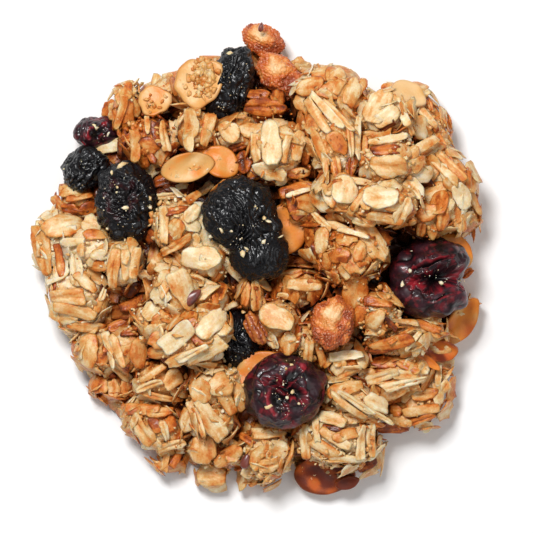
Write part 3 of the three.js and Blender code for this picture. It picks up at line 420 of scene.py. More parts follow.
# Crumbs of crust on the broken slice at the north: picture x, y, size in pixels.
ALMOND_CRUST = (
    (199, 73, 9), (204, 66, 7), (209, 73, 7), (203, 82, 9), (210, 81, 6), (212, 90, 5), (206, 93, 5), (197, 88, 6),
    (190, 95, 6), (194, 79, 10), (208, 62, 5), (200, 62, 4), (196, 97, 5), (204, 99, 5), (186, 88, 4), (205, 75, 8),
    (198, 80, 7), (207, 86, 6), (201, 89, 6), (193, 70, 5), (212, 68, 4), (203, 70, 6), (211, 76, 6),
)


def place(px, py):
    """The point of the table under a point of the picture, in mm."""
    return (px - PICTURE_CENTRE[0]) * PIXEL, (PICTURE_CENTRE[1] - py) * PIXEL


def turned(x, y, angle):
    """Points of the plane turned about the origin by an angle in radians."""
    cos, sin = np.cos(angle), np.sin(angle)
    return x * cos - y * sin, x * sin + y * cos


def unit(vectors):
    """Each row's vector at length one."""
    return vectors / np.linalg.norm(vectors, axis=1, keepdims=True)


def lumps(rows):
    """Egg-shaped bodies from rows of picture x, y, half length, half width, turn, top and thickness: each one's
    middle, half sizes and turn as arrays."""
    rows = np.array([row[:7] for row in rows], float)
    x, y = place(rows[:, 0], rows[:, 1])
    middle = np.stack([x, y, rows[:, 5] - rows[:, 6] / 2], 1)
    half = np.stack([rows[:, 2], rows[:, 3], rows[:, 6] / 2], 1)
    return {"middle": middle, "half": half, "turn": np.radians(rows[:, 4])}


def fruit_half(lobes):
    """Half sizes of a fruit: the largest of its lobes' own."""
    return [max(lobe[i] for lobe in lobes) for i in (3, 4, 5)]


CLUSTER_BODIES = lumps(CLUSTERS.values())
MOUND_BODY = {"middle": np.zeros((1, 3)), "half": np.array([MOUND_HALF]), "turn": np.zeros(1)}
HEAP_BODIES = {key: np.concatenate([MOUND_BODY[key], CLUSTER_BODIES[key]]) for key in MOUND_BODY}
FRUIT_BODIES = lumps(
    (*at, *fruit_half(lobes)[:2], lobes[0][6], top, 2 * fruit_half(lobes)[2]) for at, top, lobes, _ in FRUIT.values())
NUT_BODIES = lumps((px, py, a, b, turn, top, 2 * c) for px, py, a, b, c, turn, top in NUTS.values())
BULKY_BODIES = {key: np.concatenate([FRUIT_BODIES[key], NUT_BODIES[key]]) for key in FRUIT_BODIES}
ALMOND_BODIES = lumps(
    (px, py, a, b, turn, z + ALMOND_THICK, 2 * ALMOND_THICK) for px, py, a, b, turn, z, *_ in ALMONDS.values())
ALMOND_LEANS = np.radians([[[row[i]] for row in ALMONDS.values()] for i in (6, 7)])


def shares(bodies, points, grow=0.0):
    """Where points lie in each body's own frame, divided by its half sizes grown by a length: the offset from its
    middle, turned back about the upright and scaled. Bodies along the first axis, points along the second."""
    away = points[None] - bodies["middle"][:, None]
    x, y = turned(away[..., 0], away[..., 1], -bodies["turn"][:, None])
    return np.stack([x, y, away[..., 2]], -1) / (bodies["half"][:, None] + grow)


def flat_shares(bodies, x, y, grow=0.0):
    """Squared share of the way from each body's middle to its rim, seen from above."""
    return (shares(bodies, np.stack([x, y, np.zeros_like(x)], 1), grow)[..., :2] ** 2).sum(-1)


def within(bodies, points, room=0.0, edge=1.0):
    """Which points lie inside any body: less than a share from its middle, once it is grown by a room."""
    return (np.linalg.norm(shares(bodies, points, room), axis=-1) < edge).any(0)


def domes(bodies, x, y):
    """Height of each body's dome over points of the table, or 0 beside it: the middle's height plus the half
    height times the root of one less the squared share of the way out."""
    left = 1 - flat_shares(bodies, x, y)
    high = bodies["middle"][:, None, 2] + bodies["half"][:, None, 2] * np.sqrt(np.maximum(left, 0))
    return np.where(left > 0, high, 0)


def heap_height(x, y):
    """Height of the oats over points of the table: the highest dome, lowered where a loose piece has its bed to
    that piece's middle plane."""
    high = domes(HEAP_BODIES, x, y).max(0) - CORE_UNDER
    bed = np.full(len(x), np.inf)
    for bodies, lean, side in ((BULKY_BODIES, 0, 0), (ALMOND_BODIES, *ALMOND_LEANS)):
        dx, dy = x[None] - bodies["middle"][:, 0, None], y[None] - bodies["middle"][:, 1, None]
        plane = bodies["middle"][:, 2, None] - np.tan(lean) * (dx * np.cos(side) + dy * np.sin(side))
        bed = np.minimum(bed, np.where(flat_shares(bodies, x, y, -BED_INSET) < 1, plane, np.inf).min(0))
    return np.maximum(CORE_FOOT, np.where(np.isfinite(bed), bed, high))


def rim_reach(x, y):
    """How far the farthest body comes from the origin in each point's direction: the positive root of where a ray
    leaves each body's plan."""
    angle = np.arctan2(y, x)
    ray = np.cos(angle)[:, None], np.sin(angle)[:, None]
    reach = np.zeros(len(angle))
    for bodies, grow in ((HEAP_BODIES, 0), (BULKY_BODIES, -BED_INSET), (ALMOND_BODIES, -BED_INSET)):
        half = bodies["half"][:, :2] + grow
        way, from_middle = (
            np.stack(turned(*pair, -bodies["turn"]), -1) / half for pair in (ray, bodies["middle"][:, :2].T))
        square, slant = (way * way).sum(-1), (from_middle * way).sum(-1)
        root = slant**2 - square * ((from_middle * from_middle).sum(-1) - 1)
        far = np.where(root > 0, (slant + np.sqrt(np.maximum(root, 0))) / square, 0)
        reach = np.maximum(reach, far.max(1))
    return reach


def gap_depth(x, y, z):
    """How deep points lie between the clusters around them: the highest oats on two rings round each point, less its
    own height, from 0 in the open to 1 at the bottom of a gap, and fading towards the heap's rim. It sets the painted
    shade that darkens the oats in the gaps."""
    high = np.zeros(len(x))
    for out in (0.45 * GAP_REACH, GAP_REACH):
        ring = [heap_height(x + out * math.cos(a), y + out * math.sin(a)) for a in np.arange(8) * math.pi / 4]
        high = np.maximum(high, np.sort(ring, axis=0)[-4:].mean(0))
    inward = (rim_reach(x, y) - np.hypot(x, y) - 1.5) / 8
    return np.clip((high - z - 1.5) / 8.5, 0, 1) * np.clip(inward, 0.1, 1)


def cluster_tone(points):
    """How roasted the oats are at each point: the mean of the clusters' values, each weighted by how near it is."""
    near = (shares(CLUSTER_BODIES, points) ** 2).sum(-1)
    weight = np.exp(-2.2 * near) + 1e-9
    values = np.array([row[7] for row in CLUSTERS.values()])
    return (weight * values[:, None]).sum(0) / weight.sum(0)


def covered(points, room):
    """Which points lie inside a loose piece's body grown by a room."""
    return within(BULKY_BODIES, points, room) | within(ALMOND_BODIES, points, room)


def waves(points, length, seed, count=14):
    """A smooth random field from about -1 to 1: the mean of sine waves of roughly one length that run in random
    directions, raised to an even spread."""
    rng = np.random.default_rng(seed)
    way = rng.normal(size=(points.shape[-1], count))
    way *= 2 * math.pi / length * rng.uniform(0.7, 1.4, count) / np.linalg.norm(way, axis=0)
    return np.sin(points @ way + rng.uniform(0, 2 * math.pi, count)).sum(-1) * math.sqrt(2 / count) / 1.6


def frames(normal, turn):
    """Right-handed axes on each normal: the first is the table's x laid onto the surface and turned about the
    normal, the second is square to both."""
    first = np.array([1.0, 0, 0]) - normal * normal[:, :1]
    first /= np.linalg.norm(first, axis=1, keepdims=True) + 1e-9
    along, _ = turned(first, -np.cross(normal, first), turn[:, None])
    return np.stack([along, np.cross(normal, along), normal], 1)


def repeated(faces, count, size):
    """The faces of one shape for a count of shapes, each of so many corners."""
    return (faces[None] + np.arange(count)[:, None, None] * size).reshape(-1, 3)


def disc_pattern(sides, rings, under=()):
    """A closed flat lens as unit-disc coordinates: middle, rings and rim of the top, then the rings and middle of
    the underside. Returns radius, angle, side (1 top, 0 rim, -1 under) and the faces, outward."""
    radii = [*rings, 1.0, *under]
    sign = [1.0] * len(rings) + [0.0] + [-1.0] * len(under)
    step = np.arange(sides) * 2 * math.pi / sides
    radius = np.concatenate([[0], np.repeat(radii, sides), [0]])
    angle = np.concatenate([[0], np.tile(step, len(radii)), [0]])
    side = np.concatenate([[1.0], np.repeat(sign, sides), [-1.0]])
    here, after = np.arange(sides), (np.arange(sides) + 1) % sides
    last = len(radius) - 1
    faces = [np.stack([np.zeros(sides, int), 1 + here, 1 + after], 1)]
    for ring in range(len(radii) - 1):
        a, b = 1 + ring * sides, 1 + (ring + 1) * sides
        faces += [np.stack([a + here, b + here, b + after], 1), np.stack([a + here, b + after, a + after], 1)]
    a = 1 + (len(radii) - 1) * sides
    faces.append(np.stack([a + here, np.full(sides, last), a + after], 1))
    return radius, angle, side, np.concatenate(faces)


def sphere_grid(around, up):
    """Directions over a ball in rows from pole to pole, closed at both, with outward triangles."""
    el = np.linspace(-math.pi / 2, math.pi / 2, up + 1)[1:-1]
    az = np.arange(around) * 2 * math.pi / around
    e, a = (grid.ravel() for grid in np.meshgrid(el, az, indexing="ij"))
    way = np.stack([np.cos(e) * np.cos(a), np.cos(e) * np.sin(a), np.sin(e)], 1)
    way = np.concatenate([[[0, 0, -1]], way, [[0, 0, 1]]])
    here, after = np.arange(around), (np.arange(around) + 1) % around
    row = 1 + np.arange(up - 2)[:, None] * around
    p, q, r, s = row + here, row + after, row + around + after, row + around + here
    quads = np.concatenate([np.stack([p, q, r], -1).reshape(-1, 3), np.stack([p, r, s], -1).reshape(-1, 3)])
    last = len(way) - 1
    low = np.stack([np.zeros(around, int), 1 + after, 1 + here], 1)
    high = np.stack([np.full(around, last), last - around + here, last - around + after], 1)
    return way, np.concatenate([quads, low, high])


def flake_cloud(at, axes, half, tone, seed, sides, rings, under=(), thick=FLAKE_THICK, crease=1.0, ragged=1.0):
    """Many rolled oat flakes at once. Each outline is an oval whose radius is drawn in by sines of 2 to 9 periods
    and by up to three cracks; its middle surface is cupped across, bent along, twisted, folded at the groove and
    rippled; and top and underside stand off it by a half thickness that falls to the rim. Returns the corners,
    the faces and the attributes."""
    rng = np.random.default_rng(seed)
    radius, angle, side, faces = disc_pattern(sides, rings, under)
    r, t = radius[None], angle[None]

    def draw(low, high):
        return rng.uniform(low, high, (len(at), 1))

    edge = 1 - 0.035 + sum(
        ragged * draw(0, size) * np.sin(periods * t + draw(0, 2 * math.pi))
        for periods, size in ((2, 0.1), (3, 0.11), (4, 0.09), (5, 0.1), (7, 0.08), (9, 0.06)))
    for _ in range(3):
        crack = np.cos(t - draw(0, 2 * math.pi))
        edge -= ragged * draw(-0.1, 0.32).clip(0) * np.exp((crack - 1) / draw(0.01, 0.05))
    shape = 1 + (edge - 1) * r**2
    long, wide = half[:, :1], half[:, 1:2]
    blunt = np.where(wide < 0.45 * long, draw(0.3, 0.5), draw(0.62, 0.95))
    across = np.sign(np.sin(t)) * abs(np.sin(t)) ** blunt
    u, v = r * np.cos(t) * shape, r * across * shape * (1 - draw(-0.2, 0.2) * np.cos(t) * r)
    x, y = u * long, v * wide
    groove = np.exp(-((v / draw(0.1, 0.22)) ** 2)) * (1 - 0.5 * r**2)
    deep = draw(-0.5, 0.5).clip(0) * crease
    middle = (
        -draw(-0.10, 0.05) * wide * (1 - v**2)
        + draw(-0.22, 0.22) * long * (u**2 - 0.4)
        + draw(-0.14, 0.14) * u * v * np.sqrt(long * wide) * 2
        - 0.9 * groove * deep
        + 0.1 * r**2 * np.sin(3 * t + draw(0, 6)) + draw(0, 0.09) * r**2 * np.sin(6 * t + draw(0, 6)))
    body = thick * draw(0.8, 1.25) * np.sqrt(np.clip(1 - r**3.2, 0, 1)) * (0.75 + 0.25 * wide / wide.max())
    local = np.stack([x, y, middle + side[None] * body], -1)
    corners = np.einsum("nmk,nkj->nmj", local, axes) + at[:, None]
    corners[..., 2] = corners[..., 2].clip(LOWEST, HIGHEST)
    looks = {
        "tone": np.broadcast_to(tone[:, None], x.shape),
        "rim": r**4 * draw(-0.12, 0.3),
        "groove": groove * np.clip(deep * 2.2, 0, 1) * (side[None] > 0),
        "grain": np.stack([x, y, np.broadcast_to(draw(0, 90), x.shape)], -1),
    }
    faces = repeated(faces, len(at), len(radius))
    return corners.reshape(-1, 3), faces, {key: value.reshape(-1, *value.shape[2:]) for key, value in looks.items()}


def core_surface():
    """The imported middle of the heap. A square grid is rounded to a disc, u times the root of 1 less half of v
    squared, drawn out to the heap's outline and raised to the oats' height plus crumbly waves; its side leans in to
    the table and a last row closes the underside at the middle."""
    line = np.linspace(-1, 1, CORE_CELLS + 1)
    a, b = (grid.ravel() for grid in np.meshgrid(line, line, indexing="ij"))
    u, v = a * np.sqrt(1 - b * b / 2), b * np.sqrt(1 - a * a / 2)
    rim = rim_reach(u, v) * CORE_RIM
    x, y = u * rim, v * rim
    z = heap_height(x, y)
    points = np.stack([x, y, z], 1)
    rough = 0.45 * waves(points, 2.6, 11) + 0.32 * abs(waves(points, 1.5, 12)) + 0.12 * waves(points, 0.8, 13) - 0.1
    inward = np.clip((1 - np.maximum(abs(a), abs(b))) * 20, 0, 1)
    z = np.maximum(z + rough * inward - 0.25, 0.8)
    n = CORE_CELLS + 1
    index = np.arange(n * n).reshape(n, n)
    quads = [np.stack([index[:-1, :-1], index[1:, :-1], index[1:, 1:], index[:-1, 1:]], -1).reshape(-1, 4)]
    loop = np.concatenate([index[:-1, 0], index[-1, :-1], index[:0:-1, -1], index[0, :0:-1]])
    rows, before, total = [np.stack([x, y, z], 1)], loop, n * n
    for row in range(1, CORE_SIDE_ROWS + 1):
        share = row / CORE_SIDE_ROWS
        inset = 1 - (1 - CORE_UNDERCUT) * share
        low = np.stack([x[loop] * inset, y[loop] * inset, z[loop] * (1 - share)], 1)
        if row < CORE_SIDE_ROWS:
            low[:, :2] *= (1 + 0.008 * waves(low, 2.4, 14) + 0.005 * waves(low, 1.1, 15))[:, None]
        rows.append(low)
        now = total + np.arange(len(loop))
        total += len(loop)
        quads.append(np.stack([before, now, np.roll(now, -1), np.roll(before, -1)], 1))
        before = now
    rows.append(np.zeros((1, 3)))
    underside = np.stack([before, np.full(len(before), total), np.roll(before, -1)], 1)
    corners, quads = np.concatenate(rows), np.concatenate(quads)
    triangles = np.concatenate([quads[:, [0, 1, 2]], quads[:, [0, 2, 3]], underside])
    none = np.zeros(len(corners))
    tone = cluster_tone(corners) + 0.12 * waves(corners, 5, 16)
    # depth carries the painted shade that darkens the packed oats deep in the gaps between clusters.
    looks = {"rim": none, "groove": none, "tone": tone, "depth": gap_depth(*corners.T), "grain": corners}
    return corners, triangles, looks


def dome_spots(step, seed):
    """Even places over every cluster and the mound in a sunflower spiral, heights from the top down by equal
    steps, each with the dome's normal. Places inside another cluster or below the table are dropped."""
    rng = np.random.default_rng(seed)
    spots, normals = [], []
    for middle, (a, b, c), turn in zip(*(HEAP_BODIES[key] for key in ("middle", "half", "turn"))):
        area = 2 * math.pi * (((a * b) ** 1.6 + (a * c) ** 1.6 + (b * c) ** 1.6) / 3) ** (1 / 1.6)
        count = max(4, round(area / step**2))
        order = np.arange(count)
        high = 1 - (order + rng.uniform(0.2, 0.8, count)) / count
        out = np.sqrt(1 - high**2)
        angle = order * GOLDEN_ANGLE + rng.uniform(-0.25, 0.25, count) + rng.uniform(0, 6)
        p, q = out * np.cos(angle), out * np.sin(angle)
        spots.append(np.stack([*turned(p * a, q * b, turn), high * c], 1) + middle)
        normals.append(unit(np.stack([*turned(p / a, q / b, turn), high / c], 1)))
    spots, normals = np.concatenate(spots), np.concatenate(normals)
    keep = ~within(HEAP_BODIES, spots, edge=0.97) & (spots[:, 2] > 0.9)
    return spots[keep], normals[keep]


def side_spots(step, seed):
    """Even places in rows round the heap's side, each with the normal that points out from the middle."""
    rng = np.random.default_rng(seed)
    spots, normals = [], []
    count = round(2 * math.pi * MOUND_HALF[1] / step)
    for high in (1.4, 4.2, 7.2, 10.2):
        angle = (np.arange(count) + rng.uniform(0, 0.8, count)) / count * 2 * math.pi
        way = np.stack([np.cos(angle), np.sin(angle), 0 * angle], 1)
        rim = rim_reach(*way[:, :2].T) * CORE_RIM
        brow = heap_height(*(way[:, :2] * rim[:, None]).T)
        keep = brow > high
        inset = CORE_UNDERCUT + (1 - CORE_UNDERCUT) * np.clip(high / np.maximum(brow, 1), 0, 1)
        spots.append((way * (rim * inset)[:, None] + [0, 0, high])[keep])
        normals.append(way[keep])
    return np.concatenate(spots), np.concatenate(normals)


def wall_spots(step, seed):
    """Places on the oats' steep sides: a jittered grid over the table, kept where the height changes by over two
    millimetres across one step, at up to three heights between the foot and the brow, each with a normal that
    points outward and a little up."""
    rng = np.random.default_rng(seed)
    line = np.arange(-50, 50, step)
    x, y = (grid.ravel() for grid in np.meshgrid(line, line))
    x, y = x + rng.uniform(-0.4, 0.4, len(x)) * step, y + rng.uniform(-0.4, 0.4, len(x)) * step
    inside = np.hypot(x, y) < rim_reach(x, y) * 0.97
    x, y = x[inside], y[inside]
    reach = 0.5 * step
    slope = np.stack([heap_height(x + reach, y) - heap_height(x - reach, y),
                      heap_height(x, y + reach) - heap_height(x, y - reach)], 1)
    steep = np.linalg.norm(slope, axis=1)
    down = -slope / (steep[:, None] + 1e-9)
    foot, brow = (heap_height(*(np.stack([x, y], 1) + way * reach).T) for way in (down, -down))
    normal = unit(np.concatenate([down, np.full((len(x), 1), 0.25)], 1))
    outer = np.hypot(x, y) > rim_reach(x, y) * 0.8
    spots, normals = [], []
    for share, least in ((0.55, 2.2), (0.2, 4.5), (0.85, 4.5)):
        keep = (brow - foot > least) & (steep > 2) & (outer | (rng.random(len(x)) < 0.25))
        z = foot + (brow - foot) * (share + rng.uniform(-0.1, 0.1, len(x)))
        spots.append(np.stack([x, y, z], 1)[keep])
        normals.append(normal[keep])
    return np.concatenate(spots), np.concatenate(normals)


def every_spot(step, seed):
    """The places on the domes, round the side and on the steep walls, and which of them are on upright faces."""
    kinds = dome_spots(step, seed + 1), side_spots(step, seed + 2), wall_spots(step * 0.72, seed + 3)
    wall = np.repeat([False, True, True], [len(spots) for spots, _ in kinds])
    return *(np.concatenate(part) for part in zip(*kinds)), wall


def scattered_flakes(seed, step, half_long, half_wide, sides, tip, lift, thick, past_rim):
    """Flakes laid over the heap where nothing covers them. Each is tipped off its dome by a random angle, most of
    them a little and a few until they stand, and sunk so that its rim still touches the oats below. past_rim is how
    far they may lie from the middle as a share of the heap's outline."""
    rng = np.random.default_rng(seed)
    spots, normals, wall = every_spot(step, seed)
    count = len(spots)
    half = np.stack([rng.uniform(*half_long, count), rng.uniform(*half_wide, count)], 1)
    turn, way = rng.uniform(0, 2 * math.pi, (2, count))
    out = np.hypot(*spots[:, :2].T) / rim_reach(*spots[:, :2].T)
    steep = np.minimum(rng.exponential(tip, count), MOST_TIP) * np.where(wall | (out > 0.86), 0.35, 1)
    sine = np.sin(steep)[:, None]
    axes = frames(unit(normals * np.cos(steep)[:, None] + frames(normals, way)[:, 0] * sine), turn)
    at = spots + normals * (lift + 0.35 * sine * half[:, 1:]) * rng.uniform(0.5, 1.2, (count, 1))
    reach = np.linalg.norm(axes[:, :2, :] * half[:, :, None], axis=1)
    low, high = (np.array(corner) / MM for corner in CAD_BOX)
    inside = ((at + reach < high + 0.5) & (at - reach > low - 0.5)).all(1)
    inside &= out < np.where(wall, past_rim - 0.2, past_rim)
    above = at[:, 2] - reach[:, 2] > 0.02
    hidden = np.where(wall, covered(at, 1.2), covered(at, 0.5 + 0.45 * half.mean()))
    keep = inside & above & ~hidden & ~near_top_flake(at)
    at, axes, half = at[keep], axes[keep], half[keep]
    tone = cluster_tone(at)
    tone += rng.normal(0, 1, len(at)) * (0.03 + 0.15 * tone) + 0.08 * waves(at, 9, seed)
    corners, faces, looks = flake_cloud(at, axes, half, tone, seed, sides, FLAKE_RINGS, thick=thick)
    # depth carries the painted shade that darkens flakes lying deep in the gaps between clusters.
    looks["depth"] = np.repeat(gap_depth(*at.T), len(corners) // len(at))
    return corners, faces, looks


def top_flake_places():
    """The places of the flakes read from the picture: each lies on the plane fitted through the oats' heights under
    it, so it leans with the cluster, and stands off it by its own lift. Returns middles, axes, half sizes and how
    roasted they are."""
    rows = np.array([row for rows in TOP_FLAKES.values() for row in rows], float)
    x, y = place(rows[:, 0], rows[:, 1])
    half = rows[:, 2:4] * PIXEL / 2
    turn = np.radians(rows[:, 4])
    ring = np.array([(0, 0)] + [(0.7 * math.cos(a), 0.7 * math.sin(a)) for a in np.arange(8) * math.pi / 4])
    along = np.stack([np.cos(turn), np.sin(turn)], 1)
    across = np.stack([-along[:, 1], along[:, 0]], 1)
    spread = half + 0.6
    under = ring[None, :, :1] * (along * spread[:, :1])[:, None] + ring[None, :, 1:] * (across * spread[:, 1:])[:, None]
    high = domes(HEAP_BODIES, (x[:, None] + under[..., 0]).ravel(), (y[:, None] + under[..., 1]).ravel()).max(0)
    high = high.reshape(len(rows), -1)
    high = np.maximum(high, high.max(1, keepdims=True) - 5)
    gradient = (high[:, 1:, None] * under[:, 1:]).sum(1) / ((under[:, 1:] ** 2).sum(1) + 1e-6)
    slope = np.linalg.norm(gradient, axis=1, keepdims=True)
    gradient *= np.minimum(1, TOP_SLOPE / np.maximum(slope, 1e-6))
    normal = unit(np.concatenate([-gradient, np.ones((len(rows), 1))], 1))
    base = 0.5 * high[:, 0] + 0.5 * np.sort(high, axis=1)[:, -4:].mean(1)
    at = np.stack([x, y, base + rows[:, 6]], 1)
    return at, frames(normal, turn), half * 1.04, rows[:, 5]


def near_top_flake(points):
    """Which points would stand in front of a flake read from the picture: over its plan and above its plane."""
    at, axes, half, _ = top_flake_places()
    u, v, w = np.moveaxis(np.einsum("pnk,njk->pnj", points[:, None] - at[None], axes), -1, 0)
    over = (u / (half[:, 0] + 0.7)) ** 2 + (v / (half[:, 1] + 0.7)) ** 2 < 1
    return (over & (w > -0.9) & (w < 9)).any(1)


def icosahedron():
    """Corners and faces of the regular body with twenty sides, from three golden rectangles."""
    g = (1 + math.sqrt(5)) / 2
    corners = np.array([
        (-1, g, 0), (1, g, 0), (-1, -g, 0), (1, -g, 0), (0, -1, g), (0, 1, g),
        (0, -1, -g), (0, 1, -g), (g, 0, -1), (g, 0, 1), (-g, 0, -1), (-g, 0, 1)]) / math.hypot(1, g)
    faces = np.array([
        (0, 11, 5), (0, 5, 1), (0, 1, 7), (0, 7, 10), (0, 10, 11), (1, 5, 9), (5, 11, 4), (11, 10, 2), (10, 7, 6),
        (7, 1, 8), (3, 9, 4), (3, 4, 2), (3, 2, 6), (3, 6, 8), (3, 8, 9), (4, 9, 5), (2, 4, 11), (6, 2, 10),
        (8, 6, 7), (9, 8, 1)])
    return corners, faces


def crumb_cloud(at, size, tone, depth, seed):
    """Crumbs: twenty-sided grains, each corner pushed in by a random share, stretched and turned at random."""
    rng = np.random.default_rng(seed)
    corners, faces = icosahedron()
    count, each = len(at), len(corners)
    stretch = rng.uniform(0.4, 1.3, (count, 1, 3))
    shape = corners[None] * rng.uniform(0.45, 1.3, (count, each, 1)) * stretch * size[:, None, None]
    normal = unit(rng.normal(size=(count, 3)))
    shape = np.einsum("nmk,nkj->nmj", shape, frames(normal, rng.uniform(0, 6.3, count))) + at[:, None]
    points = shape.reshape(-1, 3)
    none = np.zeros(len(points))
    tone, depth = np.repeat(tone, each), np.repeat(depth, each)
    # depth carries the painted shade that darkens crumbs lying deep in gaps.
    looks = {"tone": tone, "rim": none, "groove": none, "grain": points + tone[:, None], "depth": depth}
    return points, repeated(faces, count, each), looks


def oat_crumb_places(count, seed):
    """Places and sizes of crumbs over the oats, more and larger ones where a cluster is crumbly."""
    rng = np.random.default_rng(seed)
    spots, normals, _ = every_spot(1.2, seed)
    names = list(CLUSTERS)
    chosen = {key: CLUSTER_BODIES[key][[names.index(name) for name in CRUMBLY]] for key in CLUSTER_BODIES}
    crumbly = within(chosen, spots, edge=1.06)
    weight = np.where(crumbly, 2.6, 0.8)
    pick = rng.choice(len(spots), min(count, len(spots)), replace=False, p=weight / weight.sum())
    jitter = rng.normal(0, 0.5, (len(pick), 3))
    at = spots[pick] + normals[pick] * rng.uniform(0.0, 0.8, (len(pick), 1)) + jitter
    size = np.where(crumbly[pick], rng.uniform(0.3, 0.8, len(pick)), rng.uniform(0.2, 0.5, len(pick)))
    inside = np.hypot(*at[:, :2].T) < rim_reach(*at[:, :2].T) * CORE_RIM + 0.4
    keep = ~covered(at, 0.4) & (at[:, 2] > 0.8) & inside
    return at[keep], size[keep]


def settled(x, y, z, size, keep):
    """The crumbs to keep, each sunk by a share of its size into what it lies on, and how far they reach."""
    return np.stack([x, y, z - CRUMB_SUNK * size], 1)[keep], size[keep] * CRUMB_SPREAD


def fruit_crumb_places():
    """Places and sizes of the crumbs on the fruit: those that the picture shows, and small ones strewn over each
    fruit's top."""
    rng = np.random.default_rng(31)
    shown = np.array(CRUMBS_ON_FRUIT, float)
    strewn = []
    for at, _, lobes, _ in FRUIT.values():
        a, b, _ = fruit_half(lobes)
        count = int(a * b * 0.9)
        r, t = np.sqrt(rng.uniform(0, 0.85, count)), rng.uniform(0, 2 * math.pi, count)
        x, y = place(*at)
        strewn.append(np.stack([x + a * r * np.cos(t), y + b * r * np.sin(t), 0.75 * rng.uniform(0.5, 1.6, count)], 1))
    x, y, size = np.concatenate([np.stack([*place(*shown[:, :2].T), shown[:, 2]], 1), *strewn]).T
    z = domes(BULKY_BODIES, x, y).max(0)
    return settled(x, y, z, size * PIXEL / 2, z > 0)


def almond_crumb_places():
    """Places and sizes of the crumbs of crust on the broken slices: where the picture shows them and strewn round
    those, each half sunk in the plane of its slice."""
    rng = np.random.default_rng(37)
    rows = [("almond_north", *row) for row in ALMOND_CRUST]
    for name, count, middle, spread, largest in (
            ("almond_north", 90, (205, 78), (7, 9), 6), ("almond_northwest", 14, (156, 104), (7, 4), 5)):
        around = rng.normal(0, 1, (count, 2)) * spread + middle
        rows += [(name, *at, size) for at, size in zip(around, rng.uniform(2, largest, count))]
    body = np.array([ALMONDS[name] for name, *_ in rows], float)
    px, py, size = np.array([row[1:] for row in rows], float).T
    x, y = place(px, py)
    middle_x, middle_y = place(*body[:, :2].T)
    dx, dy = x - middle_x, y - middle_y
    lean, side = np.radians(body[:, 6:8]).T
    z = body[:, 5] + ALMOND_THICK / 2 - np.tan(lean) * (dx * np.cos(side) + dy * np.sin(side))
    return settled(x, y, z, size * PIXEL / 2, np.hypot(dx, dy) < 0.84 * body[:, 2:4].min(1))


def lobe_reach(lobe, way):
    """How far a lobe reaches from the fruit's middle in each direction: the positive root of its quadric."""
    x, y, z, a, b, c, turn = lobe

    def own(points):
        u, v = turned(points[..., 0], points[..., 1], -math.radians(turn))
        return np.stack([u / a, v / b, points[..., 2] / c], -1)

    d, o = own(way), own(np.array([x, y, z], float))
    dd, od, oo = (d * d).sum(-1), d @ o, o @ o
    root = od * od - dd * (oo - 1)
    return np.where(root < 0, 0, np.maximum(0, (od + np.sqrt(np.maximum(root, 0))) / dd))


def fruit_shape(name, way):
    """A fruit's radius in each direction before it wrinkles: the smooth maximum of its lobes, times one less each
    dent, a bell over the angle from the dent's middle."""
    _, _, lobes, dents = FRUIT[name]
    size = sum(lobe_reach(lobe, way) ** LOBE_BLEND for lobe in lobes) ** (1 / LOBE_BLEND)
    for azimuth, elevation, width, depth in dents:
        a, e = math.radians(azimuth), math.radians(elevation)
        facing = np.array([math.cos(e) * math.cos(a), math.cos(e) * math.sin(a), math.sin(e)])
        off = np.arccos(np.clip(way @ facing, -1, 1)) / math.radians(width)
        size = size * (1 - depth * np.exp(-(off**2)))
    return size


def fruit_hollows(name, point, way, seed):
    """How much the hollows take off a fruit's radius, where their insides are and where their lips: each a flat
    bell over an oval with a bent outline, and a raised ring round it, on the fruit's upper side only."""
    lower, inside, lip = np.zeros((3, len(way)))
    up_side = np.clip(way[:, 2] * 3, 0, 1)
    for x, y, a, b, turn, depth in HOLLOWS.get(name, ()):
        u, v = turned(point[:, 0] - x, point[:, 1] - y, -math.radians(turn))
        out = np.hypot(u / a, v / b) * (1 + 0.25 * waves(point, 3.2, seed + 8) + 0.08 * waves(point, 1.1, seed + 9))
        hole = np.exp(-(out**3)) * up_side
        lower += depth * hole - 0.16 * depth * np.exp(-(((out - 1.35) / 0.28) ** 2)) * up_side
        inside = np.maximum(inside, hole)
        lip = np.maximum(lip, np.exp(-(((out - 1.2) / 0.2) ** 2)) * up_side)
    return lower, inside, lip


def creases(distance, length):
    """Round crests and sharp valleys, one to each length of a distance: the sine's size to a power below one."""
    return abs(np.sin(math.pi * distance / length)) ** 0.8


def fruit_surface(name):
    """A dried fruit: its shape, less its hollows, plus wrinkles. They follow rings round the skin's focus, at a
    distance that slower waves bend, and finer rings cross them."""
    at, top, lobes, _ = FRUIT[name]
    around, up, wrinkle, length, fold, focus = SKINS[name]
    way, faces = sphere_grid(around, up)
    size = fruit_shape(name, way)
    point = way * size[:, None]
    seed = sum(map(ord, name))
    lower, inside, lip = fruit_hollows(name, point, way, seed)
    bend = 1.1 * waves(point, 6.0, seed) + 0.3 * waves(point, 3.0, seed + 1)
    phase = np.hypot(point[:, 0] - focus[0], (point[:, 1] - focus[1]) * 0.8) + 0.45 * point[:, 2] + bend
    ring = creases(phase, length)
    cross = creases(0.62 * phase + 0.7 * waves(point, 4.2, seed + 6), length)
    broad = creases(0.5 * phase + 1.1 * waves(point, 5, seed + 3), 2.6 * length)
    mask = np.clip(0.75 + 0.5 * waves(point, 4, seed + 5), 0.25, 1.2)
    pulled = 0.6 * ring + 0.25 * cross + 0.15 * broad
    relief = (wrinkle * mask * (pulled - 0.7) + fold * (broad - 0.7) + 0.3 * waves(point, 4.5, seed + 7)
              + 0.16 * wrinkle * (abs(waves(point, 1.6, seed + 4, 20)) - 0.4) * (1 + 2 * inside))
    middle = top - max(lobe[2] + lobe[5] for lobe in lobes)
    corners = way * (size + relief - lower)[:, None] + [*place(*at), middle]
    return corners, faces, {"ridge": np.clip(pulled, 0, 1), "flesh": lip, "inside": inside, "grain": point}


